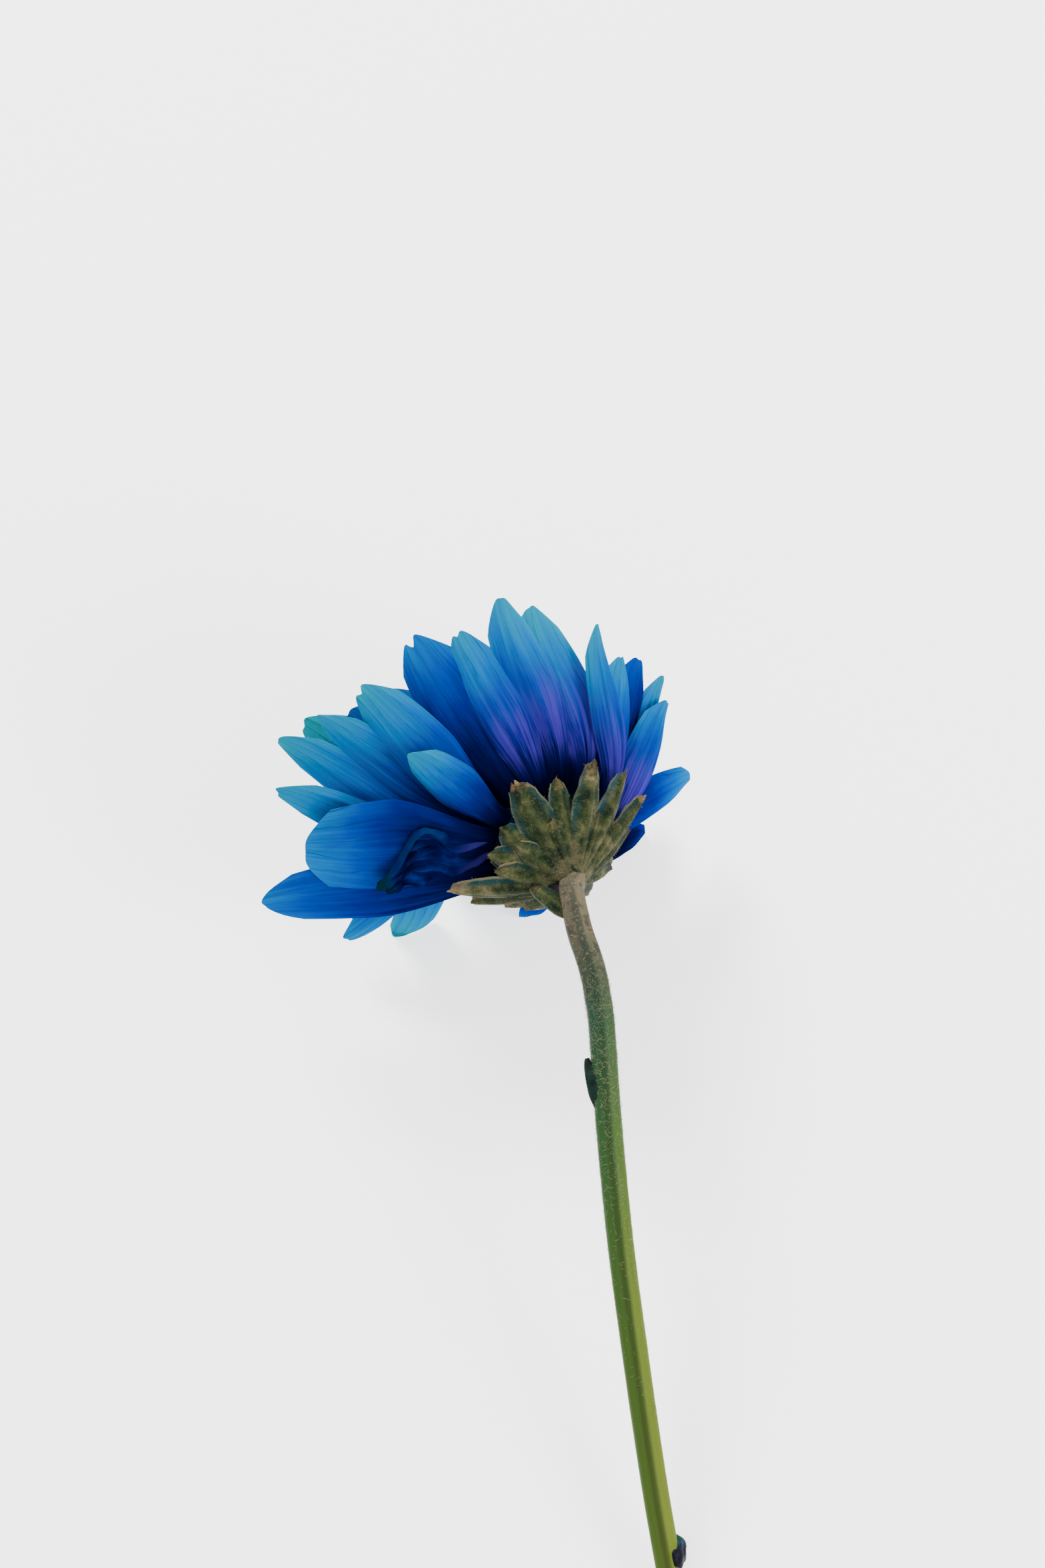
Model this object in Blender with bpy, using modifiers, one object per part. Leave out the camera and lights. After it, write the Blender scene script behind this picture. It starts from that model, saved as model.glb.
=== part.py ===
"""A cut blue daisy, lying on a table.

The flower rests on the tips of its lowest ray florets and on the cut end of its stem. The
bloom looks away from the stem and down, so its back and its green involucre are uppermost.
Z = 0 is the table, +Y runs from the cut end to the bloom, and +Z is up.
"""
import bpy
import bmesh
import math
import random
from collections import namedtuple
from mathutils import Matrix, Vector

MM = 0.001

# Where the stem meets the bloom, the way the bloom faces in plan, and how far it looks down.
BLOOM_BASE = Vector((11.3, 30.2, 30.2)) * MM
BLOOM_HEADING = math.radians(115.5)
BLOOM_DIP = math.radians(26.5)

# Touching pieces keep this gap between their faces.
SEAT_GAP = 0.3

# The rest of the sizes are in millimetres and degrees.
STEM_RADIUS_NECK = 1.55
STEM_RADIUS = 1.78
STEM_RIBS = 6
STEM_RIB_DEPTH = 0.10

CUP_PROFILE = ((2.1, 0.0), (4.4, 1.2), (6.6, 2.6), (8.1, 4.2), (8.4, 5.0))
BRACT_THICKNESS = 0.8

CORE_BOTTOM = CUP_PROFILE[-1][1] + SEAT_GAP
CORE_TOP = 10.3
CORE_RADIUS = 8.2
PETAL_THICKNESS = 0.7
PETAL_ROOT_RADIUS = 7.6
PETAL_ROOT_HEIGHTS = (7.0, 7.8, 8.6, 9.4)

DISC_BOTTOM = CORE_TOP + SEAT_GAP
DISC_RADIUS = 7.4
DISC_RISE = 2.2
DISC_FLORETS = 46
GOLDEN_ANGLE = math.radians(137.508)

# Near the table a petal bends over this height, until it lies flat.
TABLE_BLEND = 1.0

# A blade's cross lines stand closer towards its tip by this power.
TIP_CROWDING = 1.25

# A blade is given by its tip and its root in the bloom's own cylindrical coordinates. Clock
# angles are seen from the stem's side, with 0 at the right and 90 uppermost. Bow turns the
# root outwards and the tip inwards; roll turns the blade about its midrib; cup raises its
# edges towards the bloom's axis, as a share of its half width; notch cuts its tip.
Blade = namedtuple("Blade", "clock reach height width layer swing bow roll cup notch")


def petal(clock, reach, height, width, layer, swing=0, bow=5, roll=0, cup=0.25, notch=0.03):
    return Blade(clock, reach, height, width, layer, swing, bow, roll, cup, notch)


# The ray florets that are seen from the stem's side, outermost layer first.
SHOWN_PETALS = (
    petal(123.5, 24.0, 13.0, 7.4, 0, swing=4, bow=0, roll=-16, cup=0.30),
    petal(92, 28.4, 21.7, 7.4, 0, swing=-8, bow=6, roll=-10, cup=0.34),
    petal(52, 28.0, 18.5, 5.0, 0, swing=-34, bow=12, roll=20, cup=0.40),
    petal(8.5, 24.0, 18.5, 7.6, 0, swing=-14, bow=14, roll=14, cup=0.40),
    petal(303.5, 29.6, 23.4, 8.8, 0, bow=2),
    petal(267, 28.6, 21.6, 7.0, 0, bow=0),
    petal(211, 32.2, 22.0, 6.4, 1, swing=-34, bow=-6, roll=10),
    petal(182, 37.3, 19.8, 11.0, 0, swing=8, bow=2, cup=0.14),
    petal(169, 30.4, 17.2, 13.6, 0, swing=-8, bow=6, cup=0.08, notch=0.0),
    petal(123.5, 30.6, 21.6, 8.4, 1, swing=5, bow=4, roll=-10),
    petal(79, 31.0, 22.0, 7.4, 1, swing=-16, bow=8, roll=10, cup=0.36),
    petal(333.5, 27.2, 18.8, 8.4, 1, swing=4, bow=6),
    petal(231, 31.8, 25.6, 8.0, 2, swing=-44, bow=-6),
    petal(152.5, 34.4, 21.0, 6.6, 1, swing=26, bow=2),
    petal(102.5, 30.2, 23.2, 8.8, 2, swing=0, bow=2, roll=-4, cup=0.22, notch=0.08),
    petal(69, 27.6, 23.2, 8.0, 2, swing=-26, bow=10, roll=10, cup=0.32),
    petal(33, 23.4, 20.8, 6.6, 1, swing=-18, bow=12, roll=8, cup=0.36),
    petal(22, 24.2, 22.8, 8.0, 2, swing=-16, bow=12, cup=0.36),
    petal(12, 25.4, 21.8, 6.4, 2, swing=-14, bow=10, cup=0.36),
    petal(132.5, 31.5, 23.2, 8.2, 2, swing=10, bow=2, roll=-10),
    petal(143, 34.6, 24.7, 7.4, 2, swing=22, bow=2, roll=-8, cup=0.28),
    petal(134, 25.0, 26.0, 8.0, 3, swing=8, bow=2),
    petal(120, 22.4, 26.0, 7.8, 3, swing=6, bow=2),
    petal(67, 23.0, 26.0, 7.2, 3, swing=-14, bow=6),
    petal(139, 30.2, 27.0, 8.2, 3, swing=14, bow=2),
    petal(346, 17.0, 29.2, 7.6, 3, bow=4),
)

# The ray florets below, which only the table and the other sides see.
HIDDEN_PETALS = (
    petal(252, 27.0, 28.0, 8.4, 0, bow=-10),
    petal(290, 28.8, 26.6, 8.6, 1, bow=0),
    petal(320, 25.0, 24.6, 8.4, 2, bow=6),
    petal(260, 23.6, 27.4, 8.2, 2, bow=2),
    petal(197, 27.0, 25.6, 8.2, 2, bow=2),
)
INNER_CLOCKS = (48, 96, 166, 188, 212, 238, 266, 292, 316)
INNER_REACH = 18.0
INNER_HEIGHT = 27.0
INNER_WIDTH = 7.4

# One ray floret has collapsed over the side of the bloom, in folds.
# From its root to its tip: clock, reach and height at its upper edge, middle and lower edge.
FOLDED_PETAL = (
    ((138, 6.4, 7.8), (155, 6.2, 7.3), (172, 6.4, 6.9)),
    ((143, 8.4, 8.0), (157, 8.3, 7.4), (175, 8.4, 7.0)),
    ((147, 10.9, 8.4), (163, 10.3, 7.7), (178, 10.8, 7.2)),
    ((149, 13.5, 9.2), (165, 13.0, 8.3), (180, 13.5, 7.7)),
    ((148, 16.1, 10.4), (162, 15.8, 9.2), (176, 15.8, 8.6)),
    ((153, 18.4, 11.4), (165, 18.5, 10.2), (176, 18.6, 9.6)),
    ((166, 20.0, 11.8), (173, 20.2, 11.0), (181, 20.1, 10.6)),
    ((176, 23.2, 12.2), (179, 22.5, 11.8), (182, 21.3, 11.4)),
)
FOLD_DEPTH = 0.45
FOLDS = 2.5

# Involucre: the tall inner bracts that the picture shows, then the rest of their ring, and
# the short outer ones. Tip clock, reach and height, width.
INNER_BRACTS = (
    (99, 13.6, 7.4, 6.0), (73, 11.8, 6.8, 4.6), (50, 14.2, 7.2, 5.4), (26, 14.3, 7.2, 5.0),
    (3, 15.0, 7.2, 4.6), (340, 12.2, 7.0, 5.0), (315, 11.2, 6.7, 5.2), (290, 10.6, 6.3, 5.0),
    (265, 10.4, 6.1, 5.2), (243, 10.8, 6.3, 5.0), (222, 11.0, 6.6, 5.2), (200, 13.2, 7.2, 5.4),
    (180, 15.2, 6.7, 4.0), (151, 8.8, 4.9, 5.4), (126, 8.8, 4.9, 5.2),
)
OUTER_BRACTS = (
    (86, 8.4, 2.7, 3.6), (37, 8.8, 3.2, 3.6), (13, 9.4, 3.4, 3.4), (128, 8.6, 2.9, 4.0),
    (160, 9.4, 3.2, 4.0), (190, 9.0, 3.2, 3.6), (222, 8.6, 3.0, 3.6), (255, 8.8, 3.2, 3.6),
    (288, 8.8, 3.2, 3.6), (320, 8.8, 3.2, 3.6), (348, 8.6, 3.0, 3.4),
)
BRACT_ROOT = (3.0, 0.8)

# The stem's centre line from the bloom to the cut end, measured from the bloom's base.
STEM_ROUTE = (
    (0.3, -2.5, 1.2), (0.7, -4.8, 1.7), (1.5, -8.6, 2.1), (2.4, -11.3, 1.9), (3.2, -13.9, 1.3),
    (3.7, -16.4, 0.5), (4.2, -19.6, -0.6), (4.6, -24.6, -2.4), (5.1, -31.1, -4.9),
    (5.8, -38.5, -7.7), (6.9, -48.3, -11.4), (8.3, -58.1, -15.1), (9.8, -68.0, -18.9),
    (11.4, -77.8, -22.6), (12.8, -85.3, -25.4), (14.3, -93.2, -28.3),
)
STEM_STEPS = 2

# The bract on the neck and the small leaf lower down, by root and tip, with their width.
NECK_BRACT = ((0.9, -6.4, 1.2), (-4.9, -1.6, 0.9), 3.0)
STEM_LEAF = ((3.9, -30.7, -4.3), (2.3, -24.0, -1.6), 1.9)
SCAR_CENTRE = (13.9, -84.8, -25.2)
SCAR_SIZE = (1.5, 2.4, 1.5)


def clear_scene():
    for old in list(bpy.data.objects):
        bpy.data.objects.remove(old, do_unlink=True)


def new_collection(name):
    collection = bpy.data.collections.new(name)
    bpy.context.scene.collection.children.link(collection)
    return collection


def material(name, colour, roughness):
    made = bpy.data.materials.new(name)
    made.use_nodes = True
    shader = made.node_tree.nodes["Principled BSDF"]
    shader.inputs["Base Color"].default_value = (*colour, 1.0)
    shader.inputs["Roughness"].default_value = roughness
    shader.inputs["Metallic"].default_value = 0.0
    return made


def bloom_matrix():
    """The bloom's own frame: Z along its axis, X level, Y towards the table."""
    level = Vector((math.sin(BLOOM_HEADING), -math.cos(BLOOM_HEADING), 0.0))
    axis = Vector((math.cos(BLOOM_HEADING) * math.cos(BLOOM_DIP),
                   math.sin(BLOOM_HEADING) * math.cos(BLOOM_DIP),
                   -math.sin(BLOOM_DIP)))
    down = axis.cross(level)
    turn = Matrix((level, down, axis)).transposed().to_4x4()
    return Matrix.Translation(BLOOM_BASE) @ turn @ Matrix.Scale(MM, 4)


BLOOM = bloom_matrix()


def outward(clock):
    """The direction away from the bloom's axis at a clock angle seen from the stem."""
    angle = math.radians(clock)
    return Vector((math.cos(angle), -math.sin(angle), 0.0))


def smooth_step(x):
    x = min(max(x, 0.0), 1.0)
    return x * x * (3.0 - 2.0 * x)


def bezier(points, t):
    a, b, c, d = points
    s = 1.0 - t
    place = a * s ** 3 + b * 3 * s * s * t + c * 3 * s * t * t + d * t ** 3
    along = (b - a) * 3 * s * s + (c - b) * 6 * s * t + (d - c) * 3 * t * t
    return place, along.normalized()


def midrib(root_clock, root, tip_clock, tip, bow):
    """Control points from (radius, height) at the root to (reach, height) at the tip."""
    start = outward(root_clock) * root[0] + Vector((0, 0, root[1]))
    end = outward(tip_clock) * tip[0] + Vector((0, 0, tip[1]))
    length = (end - start).length
    chord = math.atan2(tip[0] - root[0], tip[1] - root[1])
    opening = chord + math.radians(bow)
    closing = chord - math.radians(bow)
    leave = outward(root_clock) * math.sin(opening) + Vector((0, 0, math.cos(opening)))
    arrive = outward(tip_clock) * math.sin(closing) + Vector((0, 0, math.cos(closing)))
    return start, start + leave * length * 0.34, end - arrive * length * 0.34, end


def across(along, roll):
    """The blade's sideways and upper directions at a point of its midrib."""
    axis = Vector((0, 0, 1))
    upper = (axis - along * axis.dot(along)).normalized()
    side = along.cross(upper)
    turned = side * math.cos(roll) - upper * math.sin(roll)
    return turned, upper * math.cos(roll) + side * math.sin(roll)


def petal_point(blade, u, v):
    """A point of a ray floret in the bloom's frame: u from root to tip, v across."""
    root = (PETAL_ROOT_RADIUS, PETAL_ROOT_HEIGHTS[blade.layer])
    line = midrib(blade.clock + blade.swing, root, blade.clock,
                  (blade.reach, blade.height), blade.bow)
    rounding = 1.0 - 0.18 * abs(v) ** 2.4 - blade.notch * (1.0 - abs(v)) ** 3
    t = u * rounding
    place, along = bezier(line, t)
    side, upper = across(along, math.radians(blade.roll) * t)
    widen = 0.42 + 0.58 * smooth_step(t / 0.55)
    narrow = 1.0 - 0.14 * max(0.0, (t - 0.6) / 0.4) ** 2
    half = blade.width / 2 * widen * narrow
    return place + side * (half * v) + upper * (blade.cup * half * v * v)


def between(a, b, c, d, t):
    """A point from b to c of the smooth curve through four points."""
    return 0.5 * (2 * b + (c - a) * t + (2 * a - 5 * b + 4 * c - d) * t * t
                  + (3 * b - a - 3 * c + d) * t ** 3)


def folded_point(stations, u, v):
    """A point of the collapsed ray floret, thrown into folds towards its tip."""
    last = len(stations) - 1
    index = min(int(u * last), last - 1)
    line = []
    for step in (-1, 0, 1, 2):
        station = stations[min(max(index + step, 0), last)]
        upper, middle, lower = (outward(c) * r + Vector((0, 0, h)) for c, r, h in station)
        line.append(middle + (lower - upper) * (v / 2) + (upper + lower - 2 * middle) * (v * v / 2))
    wave = math.sin(math.tau * FOLDS * u + 1.4 * v) + 0.5 * math.cos(4.0 * v + 5.0 * u)
    lift = FOLD_DEPTH * smooth_step((u - 0.2) / 0.4) * wave
    return between(*line, u * last - index) + Vector((0, 0, lift))


def bract_point(bract, u, v):
    """A point of an involucre bract: lance-shaped, keeled, hugging the petals."""
    clock, reach, height, width = bract
    line = midrib(clock, BRACT_ROOT, clock, (reach, height), 9)
    place, along = bezier(line, u)
    side, upper = across(along, 0.0)
    narrow = 1.0 - 0.72 * max(0.0, (u - 0.45) / 0.55) ** 2
    half = width / 2 * (0.55 + 0.45 * smooth_step(u / 0.4)) * narrow
    return place + side * (half * v) + upper * (0.30 * half * abs(v))


def press_on_table(point, half_thickness):
    """Bend a point of a blade's middle surface until it lies on the table."""
    rest = half_thickness * MM
    blend = TABLE_BLEND * MM
    if point.z >= rest + blend:
        return point
    height = rest
    if point.z > rest - blend:
        height += (point.z - rest + blend) ** 2 / (4 * blend)
    return Vector((point.x, point.y, height))


def blade_object(name, collection, surface, steps, columns, thickness):
    """A thin solid over surface(u, v), split into triangles alike on both faces."""
    mesh = bpy.data.meshes.new(name)
    grid = bmesh.new()
    bmesh.ops.create_grid(grid, x_segments=steps, y_segments=columns, size=1.0)
    for vertex in grid.verts:
        u, v = 1.0 - ((1.0 - vertex.co.x) / 2.0) ** TIP_CROWDING, vertex.co.y
        vertex.co = press_on_table(BLOOM @ surface(u, v), thickness / 2)
    bmesh.ops.triangulate(grid, faces=grid.faces)
    grid.to_mesh(mesh)
    grid.free()
    made = bpy.data.objects.new(name, mesh)
    collection.objects.link(made)
    wall = made.modifiers.new("thickness", "SOLIDIFY")
    wall.thickness = thickness * MM
    wall.offset = 0.0
    apply_modifiers(made)
    for vertex in made.data.vertices:
        if vertex.co.z < 0.08 * MM:
            vertex.co.z = 0.0
    return made


def apply_modifiers(thing):
    """Replace an object's mesh, or its curve, by what its modifiers make of it."""
    bpy.context.view_layer.update()
    shown = thing.evaluated_get(bpy.context.evaluated_depsgraph_get())
    mesh = bpy.data.meshes.new_from_object(shown)
    thing.modifiers.clear()
    thing.data = mesh


def turned_object(name, collection, profile, segments):
    """A solid turned about the bloom's axis from (radius, height) points, bottom first."""
    mesh = bpy.data.meshes.new(name)
    points = [(0.0, profile[0][1])] + list(profile) + [(0.0, profile[-1][1])]
    outline = [(r * MM, 0.0, h * MM) for r, h in reversed(points)]
    mesh.from_pydata(outline, [(i, i + 1) for i in range(len(outline) - 1)], [])
    made = bpy.data.objects.new(name, mesh)
    collection.objects.link(made)
    made.matrix_world = BLOOM @ Matrix.Scale(1 / MM, 4)
    turn = made.modifiers.new("turn", "SCREW")
    turn.steps = segments
    turn.render_steps = segments
    turn.use_merge_vertices = True
    turn.merge_threshold = 0.00001
    turn.use_smooth_shade = False
    apply_modifiers(made)
    made.data.transform(made.matrix_world)
    made.matrix_world = Matrix.Identity(4)
    return made


def fuse(body, pieces, solver="EXACT"):
    """Union every object of a collection into body, then remove them."""
    join = body.modifiers.new("join", "BOOLEAN")
    join.operation = "UNION"
    join.operand_type = "COLLECTION"
    join.collection = pieces
    join.solver = solver
    apply_modifiers(body)
    for piece in list(pieces.objects):
        bpy.data.objects.remove(piece, do_unlink=True)
    bpy.data.collections.remove(pieces)
    keep_outer_body(body)


def keep_outer_body(thing):
    """Fill the hollows that fusing sealed: only the largest connected surface stays."""
    solid = bmesh.new()
    solid.from_mesh(thing.data)
    left = set(solid.faces)
    bodies = []
    while left:
        reached = [left.pop()]
        body = []
        while reached:
            face = reached.pop()
            body.append(face)
            for edge in face.edges:
                for neighbour in edge.link_faces:
                    if neighbour in left:
                        left.remove(neighbour)
                        reached.append(neighbour)
        bodies.append(body)
    bodies.sort(key=len)
    extra = [face for body in bodies[:-1] for face in body]
    bmesh.ops.delete(solid, geom=extra, context="FACES")
    solid.to_mesh(thing.data)
    solid.free()


def finish(thing, name, look):
    thing.name = name
    thing.data.name = name
    thing.data.materials.clear()
    thing.data.materials.append(look)
    thing.data.shade_smooth()
    thing.data.set_sharp_from_angle(angle=math.radians(35))


def make_involucre(flower):
    """The green cup under the bloom, with its rings of bracts grown from it."""
    cup = turned_object("involucre", flower, CUP_PROFILE, 28)
    pieces = new_collection("bracts")
    for index, bract in enumerate(INNER_BRACTS + OUTER_BRACTS):
        blade_object(f"bract_{index}", pieces, lambda u, v, b=bract: bract_point(b, u, v),
                     4, 2, BRACT_THICKNESS)
    fuse(cup, pieces)
    finish(cup, "involucre", material("bract_green", (0.13, 0.17, 0.07), 0.75))


def make_ray_florets(flower):
    """Every ray floret in its layer, grown from one core."""
    core_profile = ((CORE_RADIUS - 1.4, CORE_BOTTOM), (CORE_RADIUS, CORE_BOTTOM + 1.2),
                    (CORE_RADIUS, CORE_TOP - 0.5), (CORE_RADIUS - 0.5, CORE_TOP))
    core = turned_object("ray_florets", flower, core_profile, 28)
    pieces = new_collection("petals")
    draw = random.Random(7)
    inner = [petal(clock + draw.uniform(-4, 4), INNER_REACH + draw.uniform(-2, 2),
                   INNER_HEIGHT + draw.uniform(-1.5, 1.5), INNER_WIDTH, 3, bow=4)
             for clock in INNER_CLOCKS]
    for index, blade in enumerate(SHOWN_PETALS + HIDDEN_PETALS + tuple(inner)):
        steps = 7 if index < len(SHOWN_PETALS) else 6
        blade_object(f"petal_{index}", pieces, lambda u, v, b=blade: petal_point(b, u, v),
                     steps, 4, PETAL_THICKNESS)
    blade_object("petal_folded", pieces, lambda u, v: folded_point(FOLDED_PETAL, u, v),
                 10, 4, PETAL_THICKNESS)
    fuse(core, pieces, solver="MANIFOLD")
    finish(core, "ray_florets", material("petal_blue", (0.01, 0.12, 0.62), 0.5))


def make_disc_florets(flower):
    """The low dome of tubular florets in the middle of the bloom."""
    dome_profile = [(DISC_RADIUS * math.cos(a), DISC_BOTTOM + DISC_RISE * math.sin(a))
                    for a in (0.0, 0.35, 0.7, 1.05)]
    dome = turned_object("disc_florets", flower, [(DISC_RADIUS - 0.2, DISC_BOTTOM)]
                         + [(r, h + 0.2) for r, h in dome_profile], 24)
    pieces = new_collection("tubes")
    for index in range(DISC_FLORETS):
        share = (index + 0.5) / DISC_FLORETS
        radius = (DISC_RADIUS - 0.9) * math.sqrt(share)
        angle = index * GOLDEN_ANGLE
        foot = Vector((radius * math.cos(angle), radius * math.sin(angle), DISC_BOTTOM + 0.4))
        lean = Vector((foot.x * 0.07, foot.y * 0.07, 1.0)).normalized()
        top = DISC_RISE * math.sqrt(1.0 - (radius / DISC_RADIUS) ** 2) + 0.7
        tube_object(f"tube_{index}", pieces, foot, lean, top)
    fuse(dome, pieces)
    finish(dome, "disc_florets", material("disc_green", (0.30, 0.36, 0.05), 0.7))


def tube_object(name, collection, foot, lean, height):
    mesh = bpy.data.meshes.new(name)
    tube = bmesh.new()
    stand = lean.to_track_quat("Z", "Y").to_matrix().to_4x4()
    place = BLOOM @ Matrix.Translation(foot + lean * height / 2) @ stand
    bmesh.ops.create_cone(tube, cap_ends=True, segments=5, radius1=0.5, radius2=0.62,
                          depth=height, matrix=place)
    tube.to_mesh(mesh)
    tube.free()
    collection.objects.link(bpy.data.objects.new(name, mesh))


def stem_points():
    """The route, and points between its own on one smooth curve."""
    route = [BLOOM @ Vector((0, 0, -SEAT_GAP)), BLOOM @ Vector((0, 0, -1.2))]
    route += [BLOOM_BASE + Vector(p) * MM for p in STEM_ROUTE]
    points = []
    for index in range(len(route) - 1):
        a = route[max(index - 1, 0)]
        b, c = route[index], route[index + 1]
        d = route[min(index + 2, len(route) - 1)]
        for step in range(STEM_STEPS):
            points.append(between(a, b, c, d, step / STEM_STEPS))
    return points + [route[-1]]


def make_stem(flower):
    """The ribbed stem with its neck, small leaves and leaf scar, down to the cut end."""
    section = bpy.data.curves.new("stem_section", "CURVE")
    section.dimensions = "2D"
    ring = section.splines.new("POLY")
    count = STEM_RIBS * 3
    ring.points.add(count - 1)
    for index in range(count):
        angle = math.tau * index / count
        radius = (STEM_RADIUS + STEM_RIB_DEPTH * math.cos(STEM_RIBS * angle)) * MM
        ring.points[index].co = (radius * math.cos(angle), radius * math.sin(angle), 0, 1)
    ring.use_cyclic_u = True
    outline = bpy.data.objects.new("stem_section", section)
    flower.objects.link(outline)
    route = stem_points()
    line = bpy.data.curves.new("stem", "CURVE")
    line.dimensions = "3D"
    line.bevel_mode = "OBJECT"
    line.bevel_object = outline
    line.use_fill_caps = True
    path = line.splines.new("POLY")
    path.points.add(len(route) - 1)
    for index, place in enumerate(route):
        share = index / (len(route) - 1)
        flare = 0.30 * max(0.0, 1.0 - index / 3)
        neck = STEM_RADIUS_NECK / STEM_RADIUS
        path.points[index].co = (*place, 1)
        path.points[index].radius = neck + (1.0 - neck) * smooth_step(share / 0.35) + flare
    stem = bpy.data.objects.new("stem", line)
    flower.objects.link(stem)
    solid = mesh_from_curve(stem, flower)
    bpy.data.objects.remove(outline, do_unlink=True)
    pieces = new_collection("stem_growths")
    for index, (root, tip, width) in enumerate((NECK_BRACT, STEM_LEAF)):
        leaf_object(f"leaf_{index}", pieces, Vector(root), Vector(tip), width)
    scar_object(pieces)
    fuse(solid, pieces)
    finish(solid, "stem", material("stem_green", (0.13, 0.22, 0.06), 0.6))


def mesh_from_curve(thing, collection):
    bpy.context.view_layer.update()
    shown = thing.evaluated_get(bpy.context.evaluated_depsgraph_get())
    mesh = bpy.data.meshes.new_from_object(shown)
    welded = bmesh.new()
    welded.from_mesh(mesh)
    bmesh.ops.remove_doubles(welded, verts=welded.verts, dist=0.000001)
    bmesh.ops.recalc_face_normals(welded, faces=welded.faces)
    welded.to_mesh(mesh)
    welded.free()
    made = bpy.data.objects.new(thing.name + "_solid", mesh)
    made.matrix_world = thing.matrix_world
    collection.objects.link(made)
    bpy.data.objects.remove(thing, do_unlink=True)
    return made


def leaf_object(name, collection, root, tip, width):
    """A small lance-shaped leaf from root to tip, both measured from the bloom's base."""
    along = tip - root
    side = along.cross(Vector((0, 0, 1))).normalized()
    upper = side.cross(along).normalized()
    to_bloom = BLOOM.inverted()

    def surface(u, v):
        narrow = 1.0 - 0.75 * max(0.0, (u - 0.5) / 0.5) ** 2
        half = width / 2 * (0.45 + 0.55 * smooth_step(u / 0.4)) * narrow
        bulge = upper * (0.10 * along.length * math.sin(math.pi * u) - 0.35 * half * v * v)
        return to_bloom @ (BLOOM_BASE + (root + along * u + side * half * v + bulge) * MM)

    return blade_object(name, collection, surface, 4, 2, BRACT_THICKNESS)


def scar_object(collection):
    """The swelling where a leaf has come away, near the cut end."""
    mesh = bpy.data.meshes.new("scar")
    bud = bmesh.new()
    size = Matrix.Diagonal((*(Vector(SCAR_SIZE) * MM), 1.0))
    bmesh.ops.create_uvsphere(bud, u_segments=10, v_segments=6, radius=1.0,
                              matrix=Matrix.Translation(BLOOM_BASE + Vector(SCAR_CENTRE) * MM) @ size)
    bud.to_mesh(mesh)
    bud.free()
    collection.objects.link(bpy.data.objects.new("scar", mesh))


def main():
    clear_scene()
    flower = new_collection("blue_daisy")
    make_stem(flower)
    make_involucre(flower)
    make_ray_florets(flower)
    make_disc_florets(flower)


main()
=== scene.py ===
"""Looks of the cut blue daisy that lies on a table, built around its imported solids."""
import math
import random
from collections import namedtuple

import bpy
from mathutils import Matrix, Vector, noise


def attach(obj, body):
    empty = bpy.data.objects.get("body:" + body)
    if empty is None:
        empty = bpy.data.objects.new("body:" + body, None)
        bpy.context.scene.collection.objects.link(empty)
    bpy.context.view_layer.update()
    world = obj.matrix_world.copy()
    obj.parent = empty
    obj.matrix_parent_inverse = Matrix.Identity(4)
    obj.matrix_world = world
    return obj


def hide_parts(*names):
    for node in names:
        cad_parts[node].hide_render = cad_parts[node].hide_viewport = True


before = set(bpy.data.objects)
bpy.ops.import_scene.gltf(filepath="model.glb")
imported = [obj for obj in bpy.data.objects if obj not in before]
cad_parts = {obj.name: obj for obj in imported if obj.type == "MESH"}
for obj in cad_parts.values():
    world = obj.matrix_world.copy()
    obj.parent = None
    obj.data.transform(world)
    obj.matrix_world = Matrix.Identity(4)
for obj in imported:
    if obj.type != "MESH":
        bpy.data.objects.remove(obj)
bpy.ops.object.select_all(action="DESELECT")
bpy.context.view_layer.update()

# Camera. It looks down on the flower, which gives the upright view of the picture, through
# a long lens. Its place puts the bloom's base at a known pixel of the picture, at a known
# distance. All measures here are in metres, and pixels are those of the picture.
PICTURE_WIDE = 1568
PICTURE_HIGH = 2352
LENS = 0.100
SENSOR = 0.036
CAMERA_TILT = math.radians(20)
CAMERA_DISTANCE = 0.575
BLOOM_BASE = Vector((0.0113, 0.0302, 0.0302))
BLOOM_BASE_PIXEL = (853, 1314)

pixel = CAMERA_DISTANCE * SENSOR / LENS / PICTURE_HIGH
camera_right = Vector((1.0, 0.0, 0.0))
camera_up = Vector((0.0, math.cos(CAMERA_TILT), math.sin(CAMERA_TILT)))
camera_back = camera_right.cross(camera_up)
camera_place = (BLOOM_BASE + camera_back * CAMERA_DISTANCE
                - camera_right * (BLOOM_BASE_PIXEL[0] - PICTURE_WIDE / 2) * pixel
                + camera_up * (BLOOM_BASE_PIXEL[1] - PICTURE_HIGH / 2) * pixel)
bpy.ops.object.camera_add()
camera = bpy.context.object
camera.name = "camera"
camera.matrix_world = (Matrix.Translation(camera_place)
                       @ Matrix((camera_right, camera_up, camera_back)).transposed().to_4x4())
camera.data.lens = LENS * 1000
camera.data.sensor_width = SENSOR * 1000
camera.data.clip_start = 0.01
bpy.context.scene.camera = camera

# Studio. A wide, soft light stands over the flower's upper left, a weaker one at its right,
# and a white surround fills the shadows. The floor is plain and nearly white.
FLOOR_WIDE = 3.0
LAMPS = (
    ("key_light", (-0.45, 0.85, 0.85), 0.40, 31.0),
    ("side_light", (0.70, -0.30, 0.60), 0.40, 9.0),
)


def aimed(place, target):
    """A matrix at place whose -Z looks at target."""
    return Matrix.Translation(place) @ (target - place).to_track_quat("-Z", "Y").to_matrix().to_4x4()


for lamp_name, lamp_place, lamp_size, lamp_power in LAMPS:
    bpy.ops.object.light_add(type="AREA")
    lamp = bpy.context.object
    lamp.name = lamp_name
    lamp.data.size = lamp_size
    lamp.data.energy = lamp_power
    lamp.matrix_world = aimed(Vector(lamp_place), BLOOM_BASE)

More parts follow.
